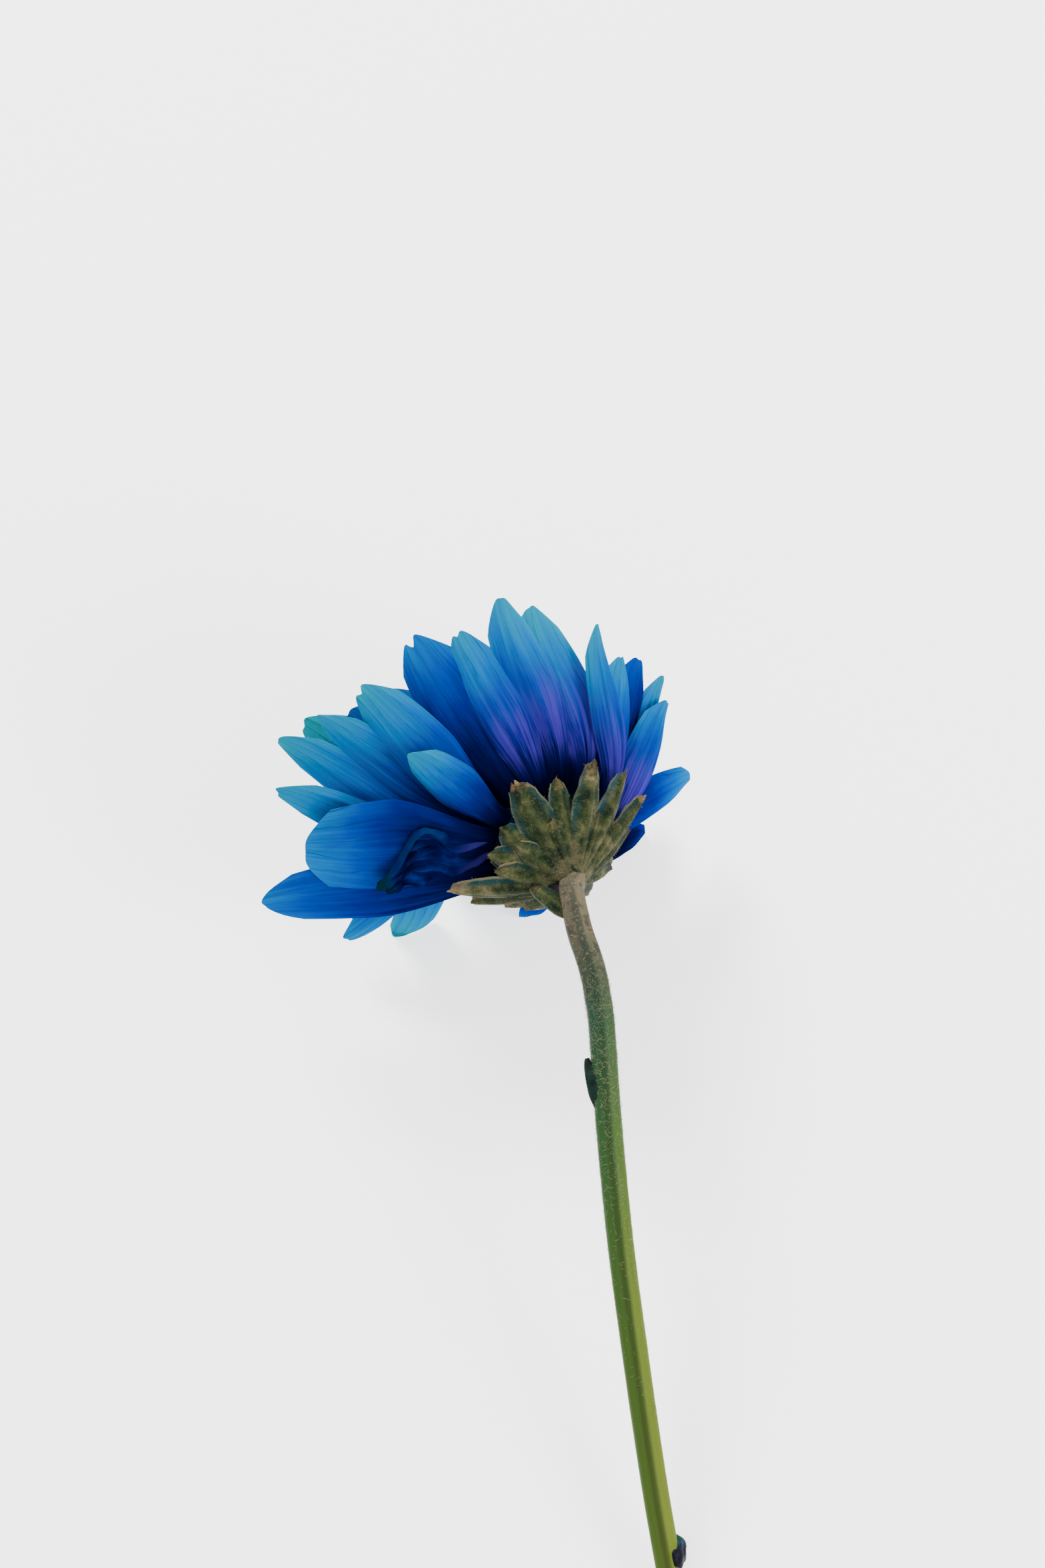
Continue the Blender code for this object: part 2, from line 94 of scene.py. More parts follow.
surround = bpy.data.worlds.new("surround")
surround.use_nodes = True
surround.node_tree.nodes["Background"].inputs["Color"].default_value = (1.0, 1.0, 1.0, 1.0)
surround.node_tree.nodes["Background"].inputs["Strength"].default_value = 1.15
bpy.context.scene.world = surround

bpy.ops.mesh.primitive_plane_add(size=FLOOR_WIDE)
floor = bpy.context.object
floor.name = "floor"
paper = bpy.data.materials.new("white_floor")
paper.use_nodes = True
paper.node_tree.nodes["Principled BSDF"].inputs["Base Color"].default_value = (0.93, 0.93, 0.93, 1.0)
paper.node_tree.nodes["Principled BSDF"].inputs["Roughness"].default_value = 0.8
paper.node_tree.nodes["Principled BSDF"].inputs["Emission Color"].default_value = (1.0, 1.0, 1.0, 1.0)
paper.node_tree.nodes["Principled BSDF"].inputs["Emission Strength"].default_value = 1.5
floor.data.materials.append(paper)

# Ray florets. The dyed petals stand in layers, each a thin blade that is narrow at its foot
# and rounded at its tip, with fine veins, lengthwise grooves and a turquoise rim.
# Lengths from here on are millimetres in the bloom's own frame, and angles are degrees.
MM = 0.001
BLOOM_HEADING = math.radians(115.5)
BLOOM_DIP = math.radians(26.5)
FOOT_RADIUS = 7.6
FOOT_HEIGHTS = (7.0, 7.8, 8.6, 9.4)
PETAL_WALL = 0.42
PETAL_RIM_SHARE = 0.3
TABLE_BLEND = 1.0
TIP_CROWDING = 1.25
PETAL_ROWS = 40
PETAL_COLUMNS = 16

Petal = namedtuple(
    "Petal",
    "clock reach height width layer swing bow roll cup notch blunt keel glow violet tilt")


def petal(clock, reach, height, width, layer, swing=0, bow=5, roll=0, cup=0.25, notch=0.012,
          blunt=0.45, keel=0.0, glow=0.0, violet=0.0, tilt=0.0):
    return Petal(clock, reach, height, width, layer, swing, bow, roll, cup, notch, blunt, keel,
                 glow, violet, tilt)


# Each petal's glow shifts it along the blue ramp: partly its own tone, partly painted light and shade for how the
# lamps fall on it.
SHOWN_PETALS = (
    petal(124, 24.0, 13.0, 6.6, 0, swing=3, bow=0, roll=-16, cup=0.30, notch=0.0, blunt=0.1,
          glow=0.06),
    petal(92, 28.4, 21.7, 7.4, 0, swing=-8, bow=6, roll=-10, cup=0.34, notch=0.03, keel=0.3, glow=0.02, violet=0.7),
    petal(53, 28.0, 18.5, 4.8, 0, swing=-42, bow=12, roll=20, cup=0.40, notch=0, blunt=0.1,
          glow=0.05, violet=0.8),
    petal(8.5, 24.0, 18.5, 7.6, 0, swing=-24, bow=14, roll=14, cup=0.40, glow=-0.05, violet=0.9),
    petal(303.5, 29.6, 23.4, 8.8, 0, bow=2, glow=-0.45),
    petal(267, 28.6, 21.6, 7.0, 0, bow=0, glow=-0.1),
    petal(210.5, 32.4, 22.0, 5.8, 1, swing=-40, bow=-6, roll=10, blunt=0.7, glow=-0.05),
    petal(182, 37.3, 19.8, 11.0, 0, swing=8, bow=2, cup=0.14, blunt=0.7, glow=-0.18),
    petal(166.5, 30.8, 17.0, 18.0, 0, swing=-7, bow=6, cup=0.08, notch=0.0, blunt=1.0,
          glow=-0.11),
    petal(120.8, 30.6, 21.6, 8.4, 1, swing=8, bow=4, roll=-10, notch=0.03, blunt=0.9, glow=0.06),
    # The last value of this keeled petal darkens one half and lightens the other across its width: painted shade
    # and painted light.
    petal(79, 31.0, 22.0, 7.4, 1, swing=-16, bow=8, roll=10, cup=0.55, notch=0, keel=1.0, glow=0.04,
          violet=0.8, tilt=-0.09),
    petal(333.5, 27.2, 18.8, 8.4, 1, swing=4, bow=6, glow=-0.06),
    petal(230.5, 32.4, 25.0, 8.0, 2, swing=-50, bow=-8, blunt=0.8, glow=0.16),
    petal(152.5, 34.4, 21.0, 6.6, 1, swing=26, bow=2, blunt=0.3, glow=0.05),
    petal(103.2, 30.2, 23.2, 9.6, 2, bow=2, roll=-4, cup=0.22, notch=0.05, glow=-0.16),
    petal(69, 27.6, 23.2, 8.6, 2, swing=-31, bow=10, roll=10, cup=0.32, glow=0.1, violet=0.9),
    petal(33, 23.4, 20.8, 6.6, 1, swing=-18, bow=12, roll=8, cup=0.36, glow=0.0, violet=0.4),
    petal(22, 24.2, 22.8, 8.0, 2, swing=-16, bow=12, cup=0.36, glow=-0.3),
    petal(12, 25.4, 21.8, 4.6, 2, swing=-14, bow=10, cup=0.36, glow=0.05, violet=0.3),
    petal(133.3, 31.8, 23.2, 7.4, 2, swing=9, bow=2, roll=-10, blunt=0.0, glow=0.06),
    petal(143, 34.6, 24.7, 7.4, 2, swing=22, bow=2, roll=-8, cup=0.28, blunt=0.2, glow=0.08),
    petal(131, 26.4, 25.0, 8.6, 3, swing=9, bow=2, blunt=0.8, glow=-0.22),
    petal(120, 22.4, 26.0, 7.8, 3, swing=6, bow=2, glow=-0.1),
    petal(67, 23.0, 26.0, 7.2, 3, swing=-14, bow=6, glow=0.1),
    petal(140, 30.4, 27.0, 9.0, 3, swing=13, bow=2, blunt=0.9, glow=0.26),
    petal(346, 17.0, 29.2, 7.6, 3, bow=4, glow=0.1),
)
HIDDEN_PETALS = (
    petal(252, 27.0, 28.0, 8.4, 0, bow=-10, glow=0.1),
    petal(290, 28.8, 26.6, 8.6, 1, bow=0),
    petal(320, 25.0, 24.6, 8.4, 2, bow=6, glow=0.1),
    petal(260, 23.6, 27.4, 8.2, 2, bow=2, glow=0.2),
    petal(197, 27.0, 25.6, 8.2, 2, bow=2, glow=0.1),
)
INNER_CLOCKS = (48, 96, 166, 188, 212, 238, 266, 292, 316)
INNER_REACH = 18.0
INNER_HEIGHT = 27.0
INNER_WIDTH = 7.4


def bloom_matrix():
    """The bloom's own frame: Z along its axis, X level, Y towards the table."""
    level = Vector((math.sin(BLOOM_HEADING), -math.cos(BLOOM_HEADING), 0.0))
    axis = Vector((math.cos(BLOOM_HEADING) * math.cos(BLOOM_DIP),
                   math.sin(BLOOM_HEADING) * math.cos(BLOOM_DIP),
                   -math.sin(BLOOM_DIP)))
    down = axis.cross(level)
    turn = Matrix((level, down, axis)).transposed().to_4x4()
    return Matrix.Translation(BLOOM_BASE) @ turn @ Matrix.Scale(MM, 4)


BLOOM = bloom_matrix()


def outward(clock):
    """Away from the bloom's axis, at a clock angle seen from the stem."""
    angle = math.radians(clock)
    return Vector((math.cos(angle), -math.sin(angle), 0.0))


def smooth_step(x):
    x = min(max(x, 0.0), 1.0)
    return x * x * (3.0 - 2.0 * x)


def bezier(points, t):
    a, b, c, d = points
    s = 1.0 - t
    place = a * s ** 3 + b * 3 * s * s * t + c * 3 * s * t * t + d * t ** 3
    along = (b - a) * 3 * s * s + (c - b) * 6 * s * t + (d - c) * 3 * t * t
    return place, along.normalized()


def midrib(foot_clock, foot, tip_clock, tip, bow):
    """Control points from (radius, height) at the foot to (reach, height) at the tip."""
    start = outward(foot_clock) * foot[0] + Vector((0, 0, foot[1]))
    end = outward(tip_clock) * tip[0] + Vector((0, 0, tip[1]))
    length = (end - start).length
    chord = math.atan2(tip[0] - foot[0], tip[1] - foot[1])
    opening = chord + math.radians(bow)
    closing = chord - math.radians(bow)
    leave = outward(foot_clock) * math.sin(opening) + Vector((0, 0, math.cos(opening)))
    arrive = outward(tip_clock) * math.sin(closing) + Vector((0, 0, math.cos(closing)))
    return start, start + leave * length * 0.34, end - arrive * length * 0.34, end


def across(along, roll):
    """The blade's sideways and upper directions at a point of its midrib."""
    axis = Vector((0, 0, 1))
    upper = (axis - along * axis.dot(along)).normalized()
    side = along.cross(upper)
    turned = side * math.cos(roll) - upper * math.sin(roll)
    return turned, upper * math.cos(roll) + side * math.sin(roll)


def petal_point(blade, u, v):
    """A point of a petal in the bloom's frame, and how far along the blade it lies."""
    line = midrib(blade.clock + blade.swing, (FOOT_RADIUS, FOOT_HEIGHTS[blade.layer]),
                  blade.clock, (blade.reach, blade.height), blade.bow)
    cut = blade.notch * math.exp(-((v - 0.15) / 0.20) ** 2) - 0.004 * math.cos(7.0 * v + blade.clock)
    rounding = 1.0 - 0.15 * abs(v) ** 2.6 - cut * (1.0 - v * v)
    t = min(u * rounding, 1.0)
    place, along = bezier(line, t)
    side, upper = across(along, math.radians(blade.roll) * t)
    widen = 0.42 + 0.58 * smooth_step(t / 0.55)
    tip_length = 0.57 + 0.14 * blade.blunt
    narrow = math.sqrt(1.0 - (max(0.0, t - 0.45) / tip_length) ** 2)
    half = blade.width / 2 * widen * (0.97 * narrow + 0.07 * smooth_step(t / 0.6) * (1 - t))
    edge = (1.0 - blade.keel) * v * v + blade.keel * (math.sqrt(v * v + 0.01) - 0.1)
    grooves = -0.10 * math.cos(3.0 * math.pi * v) * smooth_step(t / 0.3)
    grooves *= 1.0 - smooth_step((t - 0.7) / 0.3)
    waver = Vector((blade.clock, 2.2 * t, 1.6 * v))
    ripple = 0.45 * noise.noise(waver) * abs(v) * smooth_step(t / 0.5)
    return place + side * (half * v) + upper * (blade.cup * half * edge + grooves + ripple), t


def press_on_table(point, half_wall):
    """Bend a point of a blade's middle surface until it lies on the table."""
    rest = half_wall * MM
    blend = TABLE_BLEND * MM
    if point.z >= rest + blend:
        return point
    height = rest
    if point.z > rest - blend:
        height += (point.z - rest + blend) ** 2 / (4 * blend)
    return Vector((point.x, point.y, height))


def mark(mesh, name, values):
    """Keep one number for each vertex, for the materials to read."""
    kept = mesh.attributes.new(name, "FLOAT", "POINT")
    kept.data.foreach_set("value", values)


def blade(name, surface, rows, columns, wall, rim_share, marks):
    """A thin blade over surface(u, v) in the bloom's frame, thinner at its rim."""
    bpy.ops.mesh.primitive_grid_add(x_subdivisions=rows, y_subdivisions=columns, size=2)
    made = bpy.context.object
    made.name = name
    mesh = made.data
    rim = made.vertex_groups.new(name="wall")
    along = []
    sideways = []
    for vertex in mesh.vertices:
        u = 1.0 - ((1.0 - vertex.co.x) / 2.0) ** TIP_CROWDING
        v = vertex.co.y
        place, t = surface(u, v)
        vertex.co = press_on_table(BLOOM @ place, wall / 2)
        along.append(t)
        sideways.append(v)
        rim.add([vertex.index], 1.0 - max(v * v, smooth_step((u - 0.6) / 0.4)), "REPLACE")
    mark(mesh, "along", along)
    mark(mesh, "across", sideways)
    for mark_name, value in marks.items():
        mark(mesh, mark_name, [value(t, v) if callable(value) else value
                               for t, v in zip(along, sideways)])
    shell = made.modifiers.new("wall", "SOLIDIFY")
    shell.thickness = wall * MM
    shell.offset = 0.0
    shell.vertex_group = "wall"
    shell.thickness_vertex_group = rim_share
    bpy.ops.object.modifier_apply(modifier=shell.name)
    made.vertex_groups.clear()
    return made


def joined(name, things):
    """Several blades made one piece, smooth, with its place in its mesh."""
    bpy.ops.object.select_all(action="DESELECT")
    for thing in things:
        thing.select_set(True)
    bpy.context.view_layer.objects.active = things[0]
    bpy.ops.object.join()
    made = bpy.context.object
    made.name = name
    made.data.name = name
    bpy.ops.object.transform_apply(location=True, rotation=True, scale=True)
    bpy.ops.object.shade_smooth_by_angle(angle=math.radians(60))
    return made


class Signal:
    """A number that varies over a surface. Python's own signs on it add the nodes."""

    def __init__(self, finish, socket):
        self.finish = finish
        self.socket = socket

    def _sum(self, operation, *values):
        return self.finish.node("Math", {"operation": operation}, dict(enumerate(values)))

    def __add__(self, other):
        return self._sum("ADD", self, other)

    def __radd__(self, other):
        return self._sum("ADD", other, self)

    def __sub__(self, other):
        return self._sum("SUBTRACT", self, other)

    def __rsub__(self, other):
        return self._sum("SUBTRACT", other, self)

    def __mul__(self, other):
        return self._sum("MULTIPLY", self, other)

    def __rmul__(self, other):
        return self._sum("MULTIPLY", other, self)

    def __truediv__(self, other):
        return self._sum("DIVIDE", self, other)

    def __pow__(self, other):
        return self._sum("POWER", self, other)

    def size(self):
        return self._sum("ABSOLUTE", self)

    def step(self, low, high):
        """0 below low and 1 above high, smooth between them."""
        return self.finish.node("MapRange", {"interpolation_type": "SMOOTHSTEP"},
                                {"Value": self, "From Min": low, "From Max": high})


class Finish:
    """One material, built on a Principled shader."""

    def __init__(self, name):
        self.material = bpy.data.materials.new(name)
        self.material.use_nodes = True
        self.tree = self.material.node_tree
        self.shader = self.tree.nodes["Principled BSDF"]

    def node(self, kind, settings, values, output=0):
        made = self.tree.nodes.new("ShaderNode" + kind)
        for setting, value in settings.items():
            if setting == "stops":
                self.set_stops(made.color_ramp, value)
            else:
                setattr(made, setting, value)
        for socket, value in values.items():
            self.put(made.inputs[socket], value)
        return Signal(self, made.outputs[output])

    def set_stops(self, ramp, stops):
        while len(ramp.elements) < len(stops):
            ramp.elements.new(0.5)
        for element, (place, colour) in zip(ramp.elements, stops):
            element.position = place
            element.color = (*colour, 1.0)

    def put(self, socket, value):
        if isinstance(value, Signal):
            self.tree.links.new(value.socket, socket)
        elif socket.type == "RGBA":
            socket.default_value = (*value, 1.0)
        else:
            socket.default_value = value

    def marked(self, name):
        return self.node("Attribute", {"attribute_name": name}, {}, output=2)

    def triple(self, x, y, z):
        return self.node("CombineXYZ", {}, {0: x, 1: y, 2: z})

    def place(self):
        return self.node("TexCoord", {}, {}, output=3)

    def grain(self, vector, scale, detail=3.0, roughness=0.5):
        return self.node("TexNoise", {}, {"Vector": vector, "Scale": scale, "Detail": detail,
                                          "Roughness": roughness})

    def ramp(self, factor, stops):
        return self.node("ValToRGB", {"stops": stops}, {0: factor})

    def mixed(self, share, first, second, blend="MIX"):
        return self.node("Mix", {"data_type": "RGBA", "blend_type": blend},
                         {0: share, 6: first, 7: second}, output=2)

    def bumped(self, height, strength, distance):
        return self.node("Bump", {}, {"Height": height, "Strength": strength,
                                      "Distance": distance})

    def set(self, **values):
        for socket, value in values.items():
            self.put(self.shader.inputs[socket.replace("_", " ")], value)


# The near-black foot of this ramp is partly the dye and partly painted shade where the petals' feet crowd together.
PETAL_BLUES = (
    (0.00, (0.000, 0.000, 0.008)),
    (0.18, (0.000, 0.001, 0.040)),
    (0.36, (0.000, 0.008, 0.140)),
    (0.54, (0.000, 0.040, 0.260)),
    (0.72, (0.000, 0.110, 0.330)),
    (0.90, (0.000, 0.180, 0.300)),
    (1.00, (0.000, 0.245, 0.295)),
)
PETAL_VIOLET = (0.055, 0.028, 0.280)
PETAL_VEIN = (0.000, 0.008, 0.070)


def petal_finish(name):
    """Dyed petal: navy foot to turquoise tip, with darker veins and a violet flush. Its near-black foot and each
    petal's shift are partly painted shade and light, and a keeled petal has one half painted darker, the other
    lighter.
    """
    finish = Finish(name)
    along = finish.marked("along")
    sideways = finish.marked("across")
    seed = finish.marked("seed")
    cloudy = finish.grain(finish.triple(sideways * 1.2, along * 2.0, seed), 1.6, detail=3.0)
    streaks = finish.grain(finish.triple(sideways * 9.0, along * 0.7, seed), 1.6, detail=4.0)
    fine = finish.grain(finish.triple(sideways * 34.0, along * 2.6, seed), 1.5, detail=3.0)
    rim = sideways.size().step(0.72, 1.0) * along.step(0.25, 0.8)
    # Painted light and shade: the per-petal shift, and one half of a keeled petal darker and the other lighter.
    glow = finish.marked("glow") + finish.marked("tilt") * sideways
    depth = along * 0.86 + glow * along.step(0.05, 0.6)
    depth = depth + (cloudy - 0.5) * 0.30 + (streaks - 0.5) * 0.22 + rim * 0.07
    colour = finish.ramp(depth, PETAL_BLUES)
    drift = finish.grain(finish.triple(sideways * 2.0, along * 2.2, seed + 5.0), 1.2, detail=2.0)
    lines = finish.node("Math", {"operation": "SINE"}, {0: sideways * 17.0 + (drift - 0.5) * 7.0})
    veins = lines.step(0.90, 1.0) * along.step(0.12, 0.5) * streaks.step(0.35, 0.6)
    flush = finish.marked("violet") * along.step(0.12, 0.30) * (1.0 - along.step(0.40, 0.75))
    flush = flush * (streaks.step(0.38, 0.66) * 0.65 + cloudy.step(0.40, 0.60) * 0.35)
    colour = finish.mixed(flush, colour, PETAL_VIOLET)
    colour = finish.mixed(veins * 0.45, colour, PETAL_VEIN)
    colour = finish.mixed((fine - 0.5).size() * 0.5, colour, PETAL_VEIN)
    relief = lines * 0.35 * along.step(0.1, 0.4) + streaks * 0.9 + fine * 0.55
    finish.set(Base_Color=colour, Roughness=0.50 + 0.20 * fine, Specular_IOR_Level=0.0,
               Normal=finish.bumped(relief, 0.5, 0.00022))
    return finish.material


petal_blue = petal_finish("petal_blue")

draw = random.Random(7)
inner_petals = tuple(
    petal(clock + draw.uniform(-4, 4), INNER_REACH + draw.uniform(-2, 2),
          INNER_HEIGHT + draw.uniform(-1.5, 1.5), INNER_WIDTH, 3, bow=4, glow=0.1)
    for clock in INNER_CLOCKS)
blades = []
for index, shape in enumerate(SHOWN_PETALS + HIDDEN_PETALS + inner_petals):
    blades.append(blade(f"petal_{index}", lambda u, v, b=shape: petal_point(b, u, v),
                        PETAL_ROWS, PETAL_COLUMNS, PETAL_WALL, PETAL_RIM_SHARE,
                        {"glow": shape.glow, "violet": shape.violet, "tilt": shape.tilt,
                         "seed": float(index)}))
ray_florets = joined("ray_florets_fine", blades)
ray_florets.data.materials.append(petal_blue)
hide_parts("ray_florets")
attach(ray_florets, "root")

# Seed bed. The florets grow from a low drum, green in life, inside the cup of bracts; it shows only between the
# petals' feet, and is painted near-black navy as the shade of that hollow.
BED_PROFILE = ((6.8, 5.3), (8.0, 6.5), (8.0, 9.8), (7.6, 10.3))


def turned(name, profile, sides):
    """A solid turned about the bloom's axis from (radius, height) points, bottom first."""
    bpy.ops.mesh.primitive_cylinder_add(vertices=sides, radius=1.0, depth=1.0)
    made = bpy.context.object
    made.name = name
    bpy.ops.object.mode_set(mode="EDIT")
    bpy.ops.mesh.select_all(action="SELECT")
    bpy.ops.mesh.delete(type="VERT")
    bpy.ops.object.mode_set(mode="OBJECT")
    outline = [(0.0, 0.0, profile[0][1])]
    outline += [(radius, 0.0, height) for radius, height in profile]
    outline += [(0.0, 0.0, profile[-1][1])]
    made.data.from_pydata(outline, [(i, i + 1) for i in range(len(outline) - 1)], [])
    bpy.ops.object.mode_set(mode="EDIT")
    bpy.ops.mesh.select_all(action="SELECT")
    bpy.ops.mesh.spin(steps=sides, angle=math.tau, center=(0, 0, 0), axis=(0, 0, 1))
    bpy.ops.mesh.select_all(action="SELECT")
    bpy.ops.mesh.remove_doubles(threshold=0.001)
    bpy.ops.mesh.normals_make_consistent(inside=False)
    bpy.ops.object.mode_set(mode="OBJECT")
    made.data.transform(BLOOM)
    return made


def bed_shade_finish():
    finish = Finish("seed_bed")
    # Painted shade: near-black navy spots for the dark hollow between the petals' feet.
    spots = finish.grain(finish.place(), 900.0)
    finish.set(Base_Color=finish.ramp(spots, ((0.3, (0.0, 0.001, 0.006)), (0.7, (0.0, 0.006, 0.016)))),
               Roughness=0.8, Specular_IOR_Level=0.0, Normal=finish.bumped(spots, 0.5, 0.0004))
    return finish.material


seed_bed = joined("seed_bed", [turned("seed_bed", BED_PROFILE, 48)])
seed_bed.data.materials.append(bed_shade_finish())
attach(seed_bed, "root")

# Collapsed petal. One ray floret has fallen over the side of the bloom and dried in dark
# folds, with a rolled upper edge and a crumpled, nearly black tip. Its colour carries painted shade in the hollows
# of the folds and painted highlight on their crests.
# From its foot to its tip: clock, reach and height at its upper edge, middle and lower edge.
FOLDED_PETAL = (
    ((138, 6.4, 7.8), (155, 6.2, 7.3), (172, 6.4, 6.9)),
    ((143, 8.4, 8.0), (157, 8.3, 7.4), (175, 8.4, 7.0)),
    ((147, 10.9, 8.4), (163, 10.3, 7.7), (178, 10.8, 7.2)),
    ((149, 13.5, 9.2), (165, 13.0, 8.3), (180, 13.5, 7.7)),
    ((148, 16.1, 10.4), (162, 15.8, 9.2), (176, 15.8, 8.6)),
    ((153, 18.4, 11.4), (165, 18.5, 10.2), (176, 18.6, 9.6)),
    ((166, 20.0, 11.8), (173, 20.2, 11.0), (181, 20.1, 10.6)),
    ((176, 23.2, 12.2), (179, 22.5, 11.8), (182, 21.3, 11.4)),
)
FOLD_ROWS = 96
FOLD_COLUMNS = 44
FOLD_WALL = 0.34
FOLDED_BLUES = (
    (0.00, (0.000, 0.000, 0.014)),
    (0.30, (0.000, 0.002, 0.045)),
    (0.55, (0.000, 0.010, 0.110)),
    (0.80, (0.000, 0.032, 0.200)),
    (1.00, (0.000, 0.080, 0.240)),
)


def folded_relief(u, v):
    """How far the collapsed blade stands out, in millimetres, at u along and v across."""
    spread = Vector((2.6 * u, 1.5 * v, 0.0))
    straps = math.exp(-((v + 0.62 - 0.3 * u) / 0.20) ** 2) + math.exp(-((v - 0.15 - u) / 0.22) ** 2)
    straps *= 0.9 * smooth_step(u / 0.15) * (1.0 - smooth_step((u - 0.38) / 0.22))
    warped = spread * 1.15 + Vector((0.5 * noise.noise(spread * 1.7), 0.6 * v * u, 3.0))
    creases = 1.0 - abs(2.2 * noise.noise(warped))
    crumple = 1.0 - abs(2.0 * noise.noise(spread * 4.6 + Vector((1.0, 7.0, 2.0))))
    hood = math.exp(-((v + 0.86) / 0.20) ** 2) * smooth_step((u - 0.42) / 0.12)
    crushed = smooth_step((u - 0.32) / 0.35)
    return straps + crushed * (0.95 * creases + 0.28 * crumple) + 1.3 * hood


def between(a, b, c, d, t):
    """A point from b to c of the smooth curve through four points."""
    return 0.5 * (2 * b + (c - a) * t + (2 * a - 5 * b + 4 * c - d) * t * t
                  + (3 * b - a - 3 * c + d) * t ** 3)


def folded_point(u, v):
    """The collapsed blade: straps near its foot, then creases, with a ragged lower edge."""
    last = len(FOLDED_PETAL) - 1
    index = min(int(u * last), last - 1)
    ragged = 1.0 + 0.30 * noise.noise(Vector((7.0 * u, 0.0, 5.0))) * (1.0 if v > 0 else 0.2)
    w = v * ragged
    line = []
    for step in (-1, 0, 1, 2):
        station = FOLDED_PETAL[min(max(index + step, 0), last)]
        upper, middle, lower = (outward(c) * r + Vector((0, 0, h)) for c, r, h in station)
        line.append(middle + (lower - upper) * (w / 2) + (upper + lower - 2 * middle) * (w * w / 2))
    tuck = Vector((noise.noise(Vector((4.0 * u, 2.5 * v, 1.0))),
                   noise.noise(Vector((4.0 * u, 2.5 * v, 9.0))), 0.0))
    place = between(*line, u * last - index) + tuck * (0.7 * smooth_step(u / 0.5))
    return place - Vector((0, 0, 1)) * (folded_relief(u, v) - 0.5), u


def folded_finish():
    """Painted shade, navy, in the hollows and painted highlight, blue, on the crests; violet at the foot, dark
    green at the tip.
    """
    finish = Finish("petal_folded")
    along = finish.marked("along")
    sideways = finish.marked("across")
    cloudy = finish.grain(finish.place(), 330.0, detail=4.0)
    streaks = finish.grain(finish.triple(sideways * 9.0, along * 1.0, 3.0), 1.6, detail=4.0)
    fine = finish.grain(finish.place(), 2600.0, detail=3.0)
    # Painted shade and highlight: the ramp follows how far the blade stands out, dark in the hollows and bright on
    # the crests.
    depth = finish.marked("relief").step(0.5, 2.0) * 0.65 + (cloudy - 0.5) * 1.1 + 0.24
    depth = depth + (streaks - 0.5) * 0.3
    colour = finish.ramp(depth, FOLDED_BLUES)
    flush = (1.0 - along.step(0.25, 0.50)) * finish.marked("relief").step(0.2, 0.8)
    colour = finish.mixed(flush * 0.7, colour, (0.026, 0.018, 0.150))
    hood = (0.0 - sideways).step(0.35, 0.75) * along.step(0.3, 0.5)
    colour = finish.mixed(hood * 0.8, colour, (0.000, 0.004, 0.045))
    tip = (along + (cloudy - 0.5) * 0.4).step(0.84, 0.98)
    colour = finish.mixed(tip * 0.9, colour, (0.001, 0.016, 0.016))
    relief = cloudy * 1.2 + streaks * 0.8 + fine * 0.4
    finish.set(Base_Color=colour, Roughness=0.45 + 0.2 * fine, Specular_IOR_Level=0.0,
               Normal=finish.bumped(relief, 0.7, 0.0004))
    return finish.material


folded = joined("folded_petal", [
    blade("folded_petal", folded_point, FOLD_ROWS, FOLD_COLUMNS, FOLD_WALL, PETAL_RIM_SHARE,
          {"relief": folded_relief})])
folded.data.materials.append(folded_finish())
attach(folded, "root")

# Disc. A low dome of small tubular florets fills the middle of the bloom: open five-lobed
# tubes outside, closed buds towards the centre, green with the dye in their lobes.
DISC_RADIUS = 7.4
DISC_BOTTOM = 10.6
DISC_RISE = 2.2
DISC_FLORETS = 150
GOLDEN_ANGLE = math.radians(137.508)
TUBE_FOOT = 0.34
TUBE_MOUTH = 0.50
BUD_SHARE = 0.45


def disc_tube(index):
    """One tubular floret, standing on the dome where the spiral places it."""
    share = (index + 0.5) / DISC_FLORETS
    radius = (DISC_RADIUS - 0.75) * math.sqrt(share)
    angle = index * GOLDEN_ANGLE
    foot = Vector((radius * math.cos(angle), radius * math.sin(angle), DISC_BOTTOM + 0.3))
    lean = Vector((foot.x * 0.07, foot.y * 0.07, 1.0)).normalized()
    top = DISC_RISE * math.sqrt(1.0 - (radius / DISC_RADIUS) ** 2) + 0.75 + 0.35 * share
    mouth = TUBE_MOUTH if share > BUD_SHARE else TUBE_FOOT
    bpy.ops.mesh.primitive_cone_add(vertices=5, radius1=TUBE_FOOT, radius2=mouth, depth=top)
    tube = bpy.context.object
    bpy.ops.object.mode_set(mode="EDIT")
    bpy.ops.mesh.select_mode(type="FACE")
    bpy.ops.mesh.select_all(action="DESELECT")
    bpy.ops.object.mode_set(mode="OBJECT")
    for face in tube.data.polygons:
        face.select = face.normal.z > 0.9
    bpy.ops.object.mode_set(mode="EDIT")
    bpy.ops.mesh.extrude_region_move(TRANSFORM_OT_translate={"value": (0, 0, 0.12)})
    if share > BUD_SHARE:
        bpy.ops.mesh.inset(thickness=0.16, depth=-0.30)
        bpy.ops.mesh.inset(thickness=0.10, depth=0.34)
    else:
        bpy.ops.mesh.inset(thickness=0.15, depth=0.16)
    bpy.ops.object.mode_set(mode="OBJECT")
    stand = lean.to_track_quat("Z", "Y").to_matrix().to_4x4()
    heights = [vertex.co.z / top + 0.5 for vertex in tube.data.vertices]
    tube.data.transform(BLOOM @ Matrix.Translation(foot + lean * top / 2) @ stand)
    mark(tube.data, "height", heights)
    mark(tube.data, "share", [share] * len(heights))
    return tube


